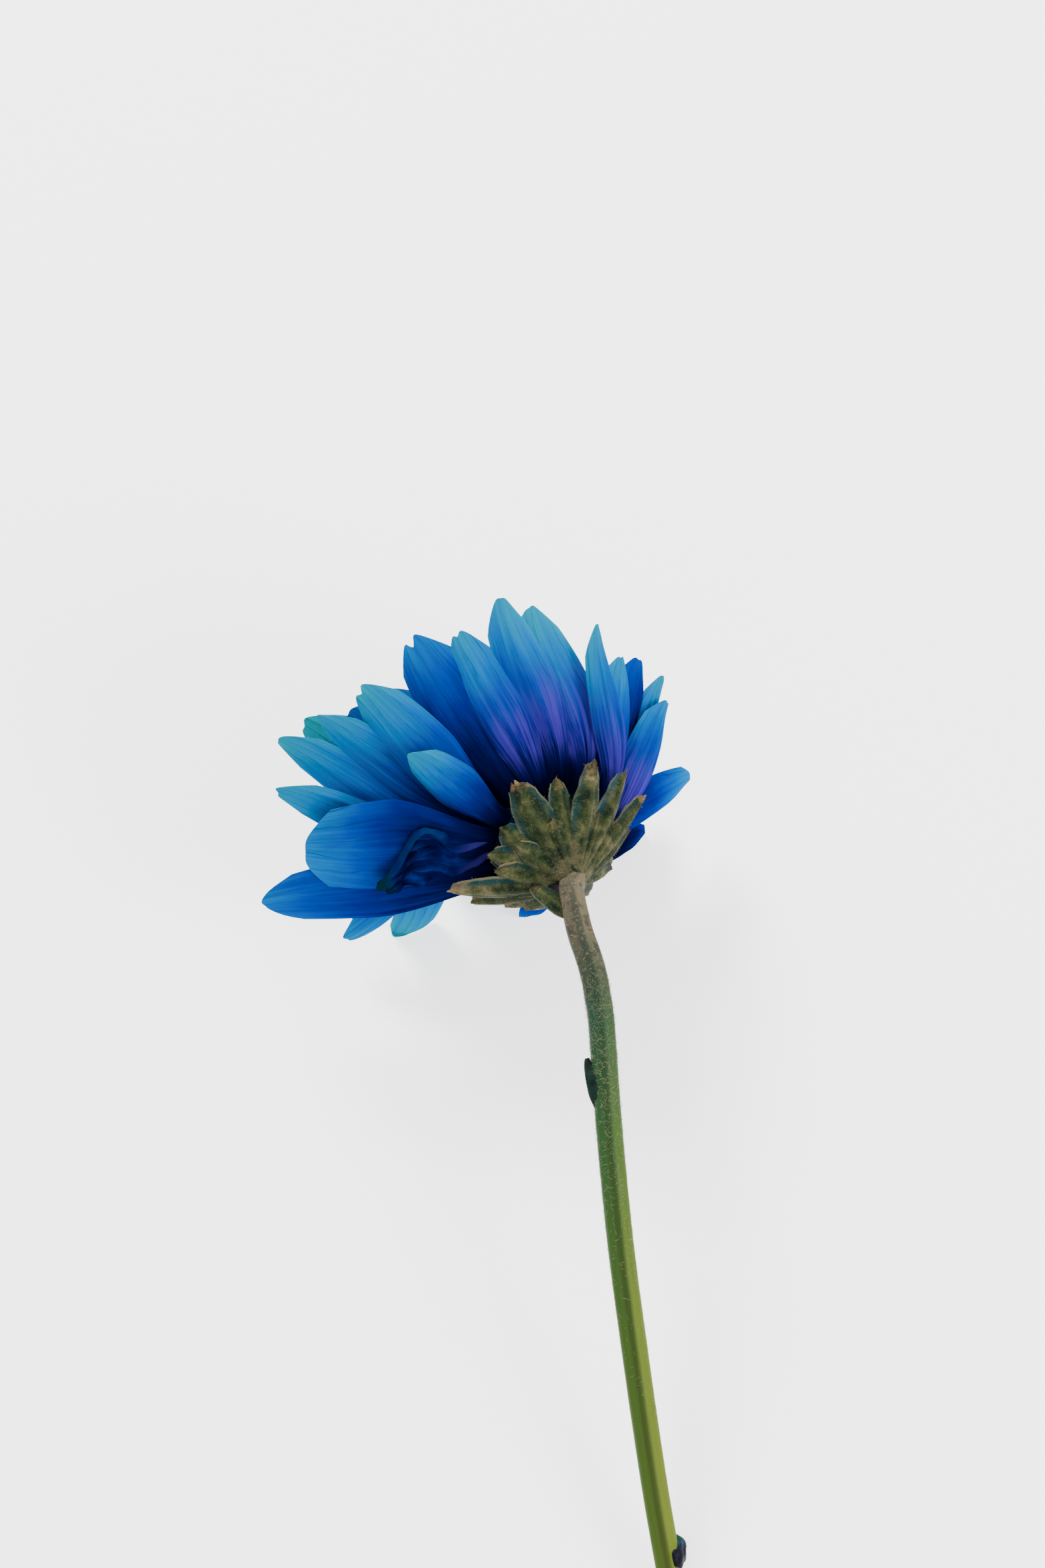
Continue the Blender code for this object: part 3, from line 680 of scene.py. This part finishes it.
def disc_finish():
    finish = Finish("disc_green")
    height = finish.marked("height")
    share = finish.marked("share")
    spots = finish.grain(finish.place(), 700.0)
    # Painted shade: the florets and the dome between them darken to near black towards their feet, in the crowded
    # hollows.
    colour = finish.ramp(height + (spots - 0.5) * 0.2, (
        (0.35, (0.006, 0.02, 0.008)), (0.80, (0.10, 0.15, 0.012)), (1.0, (0.26, 0.28, 0.025))))
    dyed = share.step(0.35, 0.95) * height.step(0.75, 1.0)
    colour = finish.mixed(dyed * 0.75, colour, (0.002, 0.09, 0.14))
    finish.set(Base_Color=colour, Roughness=0.55, Normal=finish.bumped(spots, 0.3, 0.0002))
    return finish.material


DOME_PROFILE = [(DISC_RADIUS - 0.2, DISC_BOTTOM)]
DOME_PROFILE += [(DISC_RADIUS * math.cos(a), DISC_BOTTOM + 0.2 + DISC_RISE * math.sin(a))
                 for a in (0.0, 0.25, 0.5, 0.75, 1.0, 1.25, 1.45)]
dome = turned("dome", DOME_PROFILE, 40)
mark(dome.data, "height", [0.4] * len(dome.data.vertices))
mark(dome.data, "share", [0.0] * len(dome.data.vertices))
disc = joined("disc_florets_fine", [dome] + [disc_tube(index) for index in range(DISC_FLORETS)])
disc.data.materials.append(disc_finish())
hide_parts("disc_florets")
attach(disc, "root")

# Involucre. A downy green cup holds the bloom, with two rings of keeled, pointed bracts.
# Their margins have taken the dye, and some tips have dried to brown paper.
CUP_PROFILE = (
    (1.5, 0.2), (2.2, 0.8), (3.2, 1.5), (4.4, 2.2), (5.8, 3.1), (7.0, 4.0),
    (7.8, 4.7), (8.0, 5.0),
)
BRACT_WALL = 0.50
BRACT_ROOT = (1.5, -1.3)
BRACT_ROWS = 34
BRACT_COLUMNS = 14

# Tip clock, reach and height, width, then how dyed its margins and how brown its tip are.
Bract = namedtuple("Bract", "clock reach height width dye brown")
BRACTS = (
    Bract(99, 13.6, 7.4, 5.4, 0.5, 1.0), Bract(73, 11.8, 6.8, 3.8, 0.5, 0.6),
    Bract(50, 14.4, 7.2, 4.2, 0.6, 0.5), Bract(26, 14.5, 7.2, 4.0, 1.0, 0.1),
    Bract(3, 15.0, 7.2, 3.4, 0.5, 1.0), Bract(340, 12.2, 7.0, 4.2, 0.2, 0.2),
    Bract(315, 11.2, 6.7, 5.2, 0.3, 0.4), Bract(290, 10.6, 6.3, 5.0, 0.6, 0.3),
    Bract(265, 10.4, 6.1, 5.2, 0.4, 0.6), Bract(243, 10.8, 6.3, 5.0, 0.7, 0.2),
    Bract(222, 11.0, 6.6, 5.2, 0.5, 0.5), Bract(200, 13.2, 7.2, 5.4, 0.6, 0.3),
    Bract(180, 15.2, 6.7, 4.0, 1.0, 0.5), Bract(152, 9.8, 5.2, 5.8, 0.9, 0.0),
    Bract(127, 10.0, 5.6, 5.6, 0.8, 0.0),
    Bract(86, 8.4, 2.7, 3.6, 0.1, 0.2), Bract(37, 8.8, 3.2, 3.6, 0.2, 0.1),
    Bract(13, 9.4, 3.4, 3.4, 0.2, 0.3), Bract(128, 8.6, 2.9, 4.0, 0.3, 0.0),
    Bract(160, 9.4, 3.2, 4.0, 0.3, 0.1), Bract(190, 9.0, 3.2, 3.6, 0.3, 0.2),
    Bract(222, 8.6, 3.0, 3.6, 0.3, 0.2), Bract(255, 8.8, 3.2, 3.6, 0.2, 0.1),
    Bract(288, 8.8, 3.2, 3.6, 0.2, 0.3), Bract(320, 8.8, 3.2, 3.6, 0.2, 0.1),
    Bract(348, 8.6, 3.0, 3.4, 0.2, 0.2),
)


def bract_point(bract, u, v):
    """A point of a bract: lance-shaped, keeled along its back, ragged at a dry tip."""
    line = midrib(bract.clock, BRACT_ROOT, bract.clock, (bract.reach, bract.height), 10)
    ragged = noise.noise(Vector((bract.clock, 3.0 * v, 7.0 * u)))
    t = u * (1.0 - 0.06 * abs(v) - 0.05 * bract.brown * (ragged + 0.5) * smooth_step((u - 0.7) / 0.3))
    place, along = bezier(line, t)
    side, upper = across(along, 0.0)
    narrow = 1.0 - 0.74 * max(0.0, (t - 0.45) / 0.55) ** 2.4
    half = bract.width / 2 * (0.55 + 0.45 * smooth_step(t / 0.4)) * narrow
    half *= 1.0 + 0.16 * ragged * smooth_step((u - 0.3) / 0.6)
    keel = 0.62 * half * (math.sqrt(v * v + 0.012) - 0.11) * smooth_step(t / 0.35)
    ribs = -0.07 * math.cos(4.0 * math.pi * v) * smooth_step(t / 0.2)
    curl = 0.5 * noise.noise(Vector((bract.clock, 2.0 * u, 1.5 * v))) * smooth_step((u - 0.4) / 0.6)
    return place + side * (half * v) + upper * (keel + ribs + curl * 0.6 + 0.08), t


def bract_finish(name):
    """Olive green under a pale down, teal where the dye has run, brown paper at the tip, with a painted highlight
    down the keel and painted shade on the flanks.
    """
    finish = Finish(name)
    along = finish.marked("along")
    sideways = finish.marked("across")
    mottle = finish.grain(finish.place(), 520.0, detail=5.0, roughness=0.65)
    blotch = finish.grain(finish.place(), 150.0, detail=3.0)
    down = finish.grain(finish.place(), 3400.0, detail=2.0)
    colour = finish.ramp(mottle * 0.6 + blotch * 0.4, (
        (0.40, (0.002, 0.008, 0.003)), (0.47, (0.010, 0.020, 0.005)),
        (0.54, (0.034, 0.040, 0.013)), (0.63, (0.100, 0.088, 0.042))))
    margin = sideways.size().step(0.45, 0.80) * along.step(0.15, 0.5)
    dye = margin * finish.marked("dye") * blotch.step(0.30, 0.55)
    colour = finish.mixed(dye * 0.9, colour, (0.000, 0.050, 0.080))
    # Painted highlight: a lighter line down the keel.
    keel = (1.0 - sideways.size().step(0.02, 0.20)) * along.step(0.1, 0.3)
    colour = finish.mixed(keel * 0.16, colour, (0.10, 0.10, 0.045))
    # Painted shade: darker green on the flanks either side of the keel.
    flank_shade = sideways.size().step(0.30, 0.70) * blotch.step(0.35, 0.60)
    colour = finish.mixed(flank_shade * 0.6, colour, (0.003, 0.014, 0.006))
    rim = (sideways.size() + (mottle - 0.5) * 0.25).step(0.82, 0.96)
    colour = finish.mixed(rim * blotch.step(0.30, 0.65) * 0.7, colour, (0.15, 0.125, 0.062))
    foot = (1.0 - along.step(0.12, 0.42)) * mottle.step(0.36, 0.60)
    colour = finish.mixed(foot * 0.55, colour, (0.085, 0.072, 0.040))
    colour = finish.mixed(finish.marked("shade"), colour, (0.001, 0.005, 0.007))
    paper_tip = (along + (mottle - 0.5) * 0.5).step(0.80, 0.98) * finish.marked("brown")
    colour = finish.mixed(paper_tip, colour, finish.ramp(mottle, (
        (0.40, (0.050, 0.026, 0.010)), (0.55, (0.150, 0.090, 0.040)), (0.68, (0.240, 0.160, 0.085)))))
    colour = finish.mixed(down.step(0.58, 0.74) * 0.25, colour, (0.16, 0.14, 0.085))
    relief = mottle * 0.8 + down * 0.7
    finish.set(Base_Color=colour, Roughness=0.75, Specular_IOR_Level=0.08, Sheen_Weight=0.03,
               Normal=finish.bumped(relief, 0.8, 0.00028))
    return finish.material


bract_green = bract_finish("bract_green")
cup = turned("cup", CUP_PROFILE, 64)
for mark_name, value in (("along", 0.1), ("across", 0.3), ("dye", 0.2), ("shade", 1.0)):
    mark(cup.data, mark_name, [value] * len(cup.data.vertices))
bracts = [cup]
for index, shape in enumerate(BRACTS):
    bracts.append(blade(f"bract_{index}", lambda u, v, b=shape: bract_point(b, u, v),
                        BRACT_ROWS, BRACT_COLUMNS, BRACT_WALL, 0.4,
                        {"dye": shape.dye, "brown": shape.brown}))
involucre = joined("involucre_fine", bracts)
involucre.data.materials.append(bract_green)
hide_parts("involucre")
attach(involucre, "root")

# Stem. A ribbed green stem on a gentle double curve, thicker where it joins the cup and
# greyish there, yellow-green and lighter down its right side, partly its own colour and partly painted light, with
# a dark groove between its ribs.
# The route is measured from the bloom's base, in millimetres.
STEM_ROUTE = (
    (0.3, -2.5, 1.2), (0.7, -4.8, 1.7), (1.5, -8.6, 2.1), (2.4, -11.3, 1.9), (3.2, -13.9, 1.3),
    (3.7, -16.4, 0.5), (4.2, -19.6, -0.6), (4.6, -24.6, -2.4), (5.1, -31.1, -4.9),
    (5.8, -38.5, -7.7), (6.9, -48.3, -11.4), (8.3, -58.1, -15.1), (9.8, -68.0, -18.9),
    (11.4, -77.8, -22.6), (12.8, -85.3, -25.4), (14.3, -93.2, -28.3),
)
STEM_STEPS = 10
STEM_SIDES = 56
STEM_RADIUS = 1.78
STEM_RADIUS_NECK = 1.55
STEM_RIBS = 6
STEM_RIB_DEPTH = 0.10


def stem_points():
    """Points on one smooth curve through the route, from the bloom to the cut end."""
    route = [BLOOM @ Vector((0, 0, 1.0)), BLOOM @ Vector((0, 0, -1.2))]
    route += [BLOOM_BASE + Vector(p) * MM for p in STEM_ROUTE]
    points = []
    for index in range(len(route) - 1):
        a = route[max(index - 1, 0)]
        b, c = route[index], route[index + 1]
        d = route[min(index + 2, len(route) - 1)]
        for step in range(STEM_STEPS):
            t = step / STEM_STEPS
            points.append(0.5 * (2 * b + (c - a) * t + (2 * a - 5 * b + 4 * c - d) * t * t
                                 + (3 * b - a - 3 * c + d) * t ** 3))
    return points + [route[-1]]


STEM_LINE = stem_points()


def stem_surface(share, turn):
    """Place and outward direction on the stem: share from bloom to cut, turn from its right."""
    position = share * (len(STEM_LINE) - 1)
    index = min(int(position), len(STEM_LINE) - 2)
    start, end = STEM_LINE[index], STEM_LINE[index + 1]
    centre = start.lerp(end, position - index)
    before = STEM_LINE[max(index - 2, 0)]
    after = STEM_LINE[min(index + 3, len(STEM_LINE) - 1)]
    along = (after - before).normalized()
    right = (camera_right - along * along.dot(camera_right)).normalized()
    front = right.cross(along)
    front = front if front.dot(camera_back) > 0 else -front
    out = right * math.cos(turn) + front * math.sin(turn)
    neck = STEM_RADIUS_NECK / STEM_RADIUS
    flare = 0.45 * math.exp(-share * 20)
    size = neck + (1.0 - neck) * smooth_step(share / 0.35) + flare
    rough = 0.02 * noise.noise(centre * 900 + out * 2.0)
    rib = STEM_RIB_DEPTH * math.cos(STEM_RIBS * (turn + 0.55))
    return centre + out * ((STEM_RADIUS + rib + rough) * size * MM), out, along


def stem_finish(name):
    finish = Finish(name)
    share = finish.marked("share")
    turn = finish.marked("turn")
    streaks = finish.grain(finish.triple(turn * 3.0, share * 9.0, 0.0), 2.2, detail=4.0)
    mottle = finish.grain(finish.place(), 620.0, detail=5.0, roughness=0.65)
    blotch = finish.grain(finish.place(), 110.0, detail=3.0)
    down = finish.grain(finish.place(), 2600.0, detail=3.0)
    left = finish.ramp(share + (blotch - 0.5) * 0.08, (
        (0.00, (0.080, 0.066, 0.038)), (0.22, (0.058, 0.050, 0.030)), (0.34, (0.024, 0.032, 0.020)),
        (0.46, (0.008, 0.036, 0.020)), (0.60, (0.012, 0.050, 0.010)), (0.76, (0.026, 0.062, 0.004)),
        (1.0, (0.038, 0.068, 0.003))))
    right = finish.ramp(share + (blotch - 0.5) * 0.08, (
        (0.00, (0.115, 0.095, 0.054)), (0.22, (0.085, 0.074, 0.042)), (0.34, (0.044, 0.052, 0.028)),
        (0.46, (0.020, 0.054, 0.018)), (0.60, (0.036, 0.085, 0.010)), (0.76, (0.085, 0.125, 0.005)),
        (1.0, (0.105, 0.136, 0.004))))
    groove = finish.ramp(share, (
        (0.05, (0.030, 0.026, 0.018)), (0.40, (0.006, 0.026, 0.012)), (0.70, (0.016, 0.034, 0.002)),
        (1.0, (0.028, 0.036, 0.001))))
    # Partly painted light: the right side, towards the lamp at the right, takes the lighter ramp.
    sunny = (1.0 - (turn - 0.35).size().step(0.75, 1.25))
    colour = finish.mixed(sunny, left, right)
    dark = (1.0 - (turn - 1.62).size().step(0.10, 0.42)) * share.step(0.02, 0.2)
    colour = finish.mixed(dark * 0.75, colour, groove)
    colour = finish.mixed((streaks - 0.5).size() * 0.9, colour, groove)
    grey = 1.0 - share.step(0.26, 0.50)
    colour = finish.mixed(mottle.step(0.48, 0.62) * grey * 0.7, colour, (0.020, 0.018, 0.014))
    colour = finish.mixed(down.step(0.55, 0.68) * grey * 0.5, colour, (0.140, 0.120, 0.072))
    relief = streaks * 1.2 + mottle * 0.5 + down * 0.5 * grey
    finish.set(Base_Color=colour, Roughness=0.55 + 0.2 * grey, Specular_IOR_Level=0.15,
               Normal=finish.bumped(relief, 0.55, 0.00025))
    return finish.material


rings = len(STEM_LINE)
bpy.ops.mesh.primitive_grid_add(x_subdivisions=rings, y_subdivisions=STEM_SIDES, size=2)
stem = bpy.context.object
stem.name = "stem_fine"
shares = []
turns = []
for vertex in stem.data.vertices:
    share = (vertex.co.x + 1) / 2
    turn = vertex.co.y * math.pi + 0.35
    shares.append(share)
    turns.append(turn)
    vertex.co = stem_surface(share, turn)[0]
mark(stem.data, "share", shares)
mark(stem.data, "turn", turns)
bpy.ops.object.mode_set(mode="EDIT")
bpy.ops.mesh.select_all(action="SELECT")
bpy.ops.mesh.remove_doubles(threshold=0.000001)
bpy.ops.mesh.fill_holes(sides=0)
bpy.ops.mesh.normals_make_consistent(inside=False)
bpy.ops.object.mode_set(mode="OBJECT")
stem_green = stem_finish("stem_green")

# Cut end. The knife has left a clean oblong of pale pith inside a ring of darker strands,
# under the green skin.
CUT_RIM = 0.22
CUT_RING = 0.35


def cut_finish(centre):
    """Rings of colour round the middle of the cut."""
    finish = Finish("stem_cut")
    away = finish.node("VectorMath", {"operation": "DISTANCE"}, {0: finish.place(), 1: centre}, output=1)
    spots = finish.grain(finish.place(), 2400.0, detail=2.0)
    colour = finish.ramp(away * (1 / (STEM_RADIUS * MM)) + (spots - 0.5) * 0.12, (
        (0.0, (0.42, 0.48, 0.26)), (0.55, (0.36, 0.44, 0.18)), (0.72, (0.10, 0.18, 0.05)),
        (0.85, (0.22, 0.34, 0.08)), (1.0, (0.06, 0.14, 0.02))))
    finish.set(Base_Color=colour, Roughness=0.45, Normal=finish.bumped(spots, 0.6, 0.0002))
    return finish.material


cut_centre = STEM_LINE[-1]
stem.data.materials.append(stem_green)
stem.data.materials.append(cut_finish(cut_centre))
bpy.ops.object.mode_set(mode="EDIT")
bpy.ops.mesh.select_mode(type="FACE")
bpy.ops.mesh.select_all(action="DESELECT")
bpy.ops.object.mode_set(mode="OBJECT")
for face in stem.data.polygons:
    face.select = len(face.vertices) > 4 and (face.center - cut_centre).length < STEM_RADIUS * MM
bpy.ops.object.mode_set(mode="EDIT")
bpy.ops.mesh.inset(thickness=CUT_RIM * MM, depth=0.0)
stem.active_material_index = 1
bpy.ops.object.material_slot_assign()
bpy.ops.mesh.inset(thickness=CUT_RING * MM, depth=-0.05 * MM)
bpy.ops.mesh.inset(thickness=CUT_RING * MM, depth=0.08 * MM)
bpy.ops.object.mode_set(mode="OBJECT")

# Growths on the stem. A keeled bract leans off the neck, a small dark leaf lies along the
# stem lower down, and a leaf has left its swollen, nearly black scar near the cut end.
NECK_BRACT = ((1.1, -6.6, 1.2), (-4.9, -1.7, 0.9), 2.6)
# A dark sheet in the hollow between the neck and its bract: partly the dye there, partly painted shade of the
# hollow.
NECK_AXIL = ((0.9, -5.2, 0.9), (-2.2, -0.8, 0.9), 3.2)
STEM_LEAF = ((3.9, -31.2, -4.4), (2.3, -24.5, -1.8), 1.6)
SCAR_CENTRE = (13.9, -84.8, -25.2)
SCAR_SIZE = (1.5, 2.4, 1.5)


def leaf(name, root, tip, width, marks):
    """A small lance-shaped leaf from root to tip, both measured from the bloom's base."""
    root = Vector(root)
    along = Vector(tip) - root
    side = along.cross(Vector((0, 0, 1))).normalized()
    upper = side.cross(along).normalized()
    to_bloom = BLOOM.inverted()

    def surface(u, v):
        narrow = math.sqrt(1.0 - 0.93 * max(0.0, (u - 0.4) / 0.6) ** 2.4)
        half = width / 2 * (0.45 + 0.55 * smooth_step(u / 0.4)) * narrow
        curl = 0.25 * noise.noise(Vector((width, 2.0 * u, 1.4 * v)))
        keel = -0.35 * half * (math.sqrt(v * v + 0.01) - 0.1)
        bulge = upper * (0.10 * along.length * math.sin(math.pi * u) + keel + curl)
        return to_bloom @ (BLOOM_BASE + (root + along * u + side * half * v + bulge) * MM), u

    return blade(name, surface, 30, 12, 0.5, 0.4, marks)


def leaf_finish():
    finish = Finish("leaf_dark")
    mottle = finish.grain(finish.place(), 700.0, detail=4.0)
    colour = finish.ramp(mottle, (
        (0.40, (0.001, 0.005, 0.004)), (0.60, (0.003, 0.016, 0.010)), (0.75, (0.020, 0.024, 0.014))))
    finish.set(Base_Color=colour, Roughness=0.5, Specular_IOR_Level=0.1, Normal=finish.bumped(mottle, 0.6, 0.0002))
    return finish.material


def axil_shade_finish():
    """The hollow between the neck and its bract: a nearly black sheet, partly the dye and partly painted shade."""
    finish = Finish("axil_dark")
    mottle = finish.grain(finish.place(), 900.0, detail=3.0)
    colour = finish.ramp(mottle, ((0.40, (0.002, 0.003, 0.008)), (0.70, (0.016, 0.012, 0.014))))
    finish.set(Base_Color=colour, Roughness=0.8, Specular_IOR_Level=0.1)
    return finish.material


def scar_finish(centre):
    finish = Finish("leaf_scar")
    height = finish.node("SeparateXYZ", {}, {0: finish.place()}, output=1)
    mottle = finish.grain(finish.place(), 600.0, detail=4.0)
    rise = (height - centre.y) * (1 / (SCAR_SIZE[1] * MM)) + (mottle - 0.5) * 0.8
    colour = finish.ramp(rise, (
        (0.05, (0.002, 0.002, 0.008)), (0.30, (0.001, 0.010, 0.024)), (0.60, (0.002, 0.034, 0.030)),
        (0.95, (0.036, 0.080, 0.006))))
    finish.set(Base_Color=colour, Roughness=0.5, Specular_IOR_Level=0.1, Normal=finish.bumped(mottle, 0.8, 0.0004))
    return finish.material


neck_bract = joined("neck_bract", [leaf("neck_bract", *NECK_BRACT, {"dye": 0.2, "brown": 0.5})])
neck_bract.data.materials.append(bract_green)
neck_axil = joined("neck_axil", [leaf("neck_axil", *NECK_AXIL, {})])
neck_axil.data.materials.append(axil_shade_finish())
stem_leaf = joined("stem_leaf", [leaf("stem_leaf", *STEM_LEAF, {})])
stem_leaf.data.materials.append(leaf_finish())

scar_centre = BLOOM_BASE + Vector(SCAR_CENTRE) * MM
bpy.ops.mesh.primitive_uv_sphere_add(segments=40, ring_count=24, radius=1.0)
scar = bpy.context.object
for vertex in scar.data.vertices:
    bumps = 1.0 + 0.16 * noise.noise(vertex.co * 2.2) - 0.10 * math.exp(-((vertex.co.y - 0.1) / 0.18) ** 2)
    swelling = Vector(a * b for a, b in zip(vertex.co * bumps, SCAR_SIZE))
    vertex.co = scar_centre + swelling * MM
scar = joined("leaf_scar", [scar])
scar.data.materials.append(scar_finish(scar_centre))

for growth in (neck_bract, neck_axil, stem_leaf, scar):
    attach(growth, "root")
stem = joined("stem_fine", [stem])
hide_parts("stem")
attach(stem, "root")

# Hairs. Fine pale hairs curl over the upper two thirds of the stem, and a short down covers
# the neck and the bracts. Each is a tapered thread of a few faces.
STEM_HAIRS = 2400
DOWN_HAIRS = 2200
HAIR_RADIUS = 0.018
HAIR_TAPER = (1.0, 0.8, 0.55, 0.25)


def hair_piece(name, hairs, shade):
    """One mesh of many threads; each hair is a list of points, in metres."""
    bpy.ops.object.select_all(action="DESELECT")
    threads = bpy.data.curves.new(name, "CURVE")
    threads.dimensions = "3D"
    threads.bevel_depth = HAIR_RADIUS * MM
    threads.bevel_resolution = 0
    for points in hairs:
        line = threads.splines.new("POLY")
        line.points.add(len(points) - 1)
        for index, place in enumerate(points):
            line.points[index].co = (*place, 1.0)
            line.points[index].radius = HAIR_TAPER[index]
    made = bpy.data.objects.new(name, threads)
    bpy.context.collection.objects.link(made)
    made.select_set(True)
    bpy.context.view_layer.objects.active = made
    bpy.ops.object.convert(target="MESH")
    made = joined(name, [bpy.context.object])
    made.data.materials.append(shade)
    return made


def curled_hair(start, out, way, length, curl):
    """Four points of a hair that leaves along out and bends over towards way."""
    points = []
    for step in range(4):
        s = step / 3
        bend = out * (0.62 * s - 0.40 * s * s) + way * (0.25 * s + 0.75 * s * s)
        points.append(start - out * 0.04 * MM + (bend + curl * (s * s * 0.6)) * (length * MM))
    return points


hair_pale = Finish("hair_pale")
hair_pale.set(Base_Color=hair_pale.ramp(hair_pale.grain(hair_pale.place(), 90.0), (
    (0.35, (0.12, 0.14, 0.05)), (0.65, (0.26, 0.22, 0.11)))), Roughness=0.5)

stem_threads = []
while len(stem_threads) < STEM_HAIRS:
    share = draw.triangular(0.24, 0.84, 0.52)
    start, out, along = stem_surface(share, draw.uniform(-math.pi, math.pi))
    aside = out.cross(along)
    way = (along * draw.uniform(-0.9, 0.5) + aside * draw.uniform(-1.0, 1.0)).normalized()
    curl = aside * draw.uniform(-0.7, 0.7)
    if start.z > STEM_RADIUS * MM:
        stem_threads.append(curled_hair(start, out, way, draw.uniform(0.35, 0.90), curl))
stem_hairs = hair_piece("stem_hairs", stem_threads, hair_pale.material)
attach(stem_hairs, "root")

down_threads = []
downy = [vertex for vertex in involucre.data.vertices if vertex.normal.dot(camera_back) > -0.4]
for vertex in draw.sample(downy, DOWN_HAIRS):
    out = vertex.normal
    way = Vector((draw.uniform(-1, 1), draw.uniform(-1, 1), draw.uniform(-1, 1))).normalized()
    down_threads.append(curled_hair(vertex.co, out, way, draw.uniform(0.25, 0.55), way * 0.3)[:3])
down_hairs = hair_piece("bract_down", down_threads, hair_pale.material)
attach(down_hairs, "root")
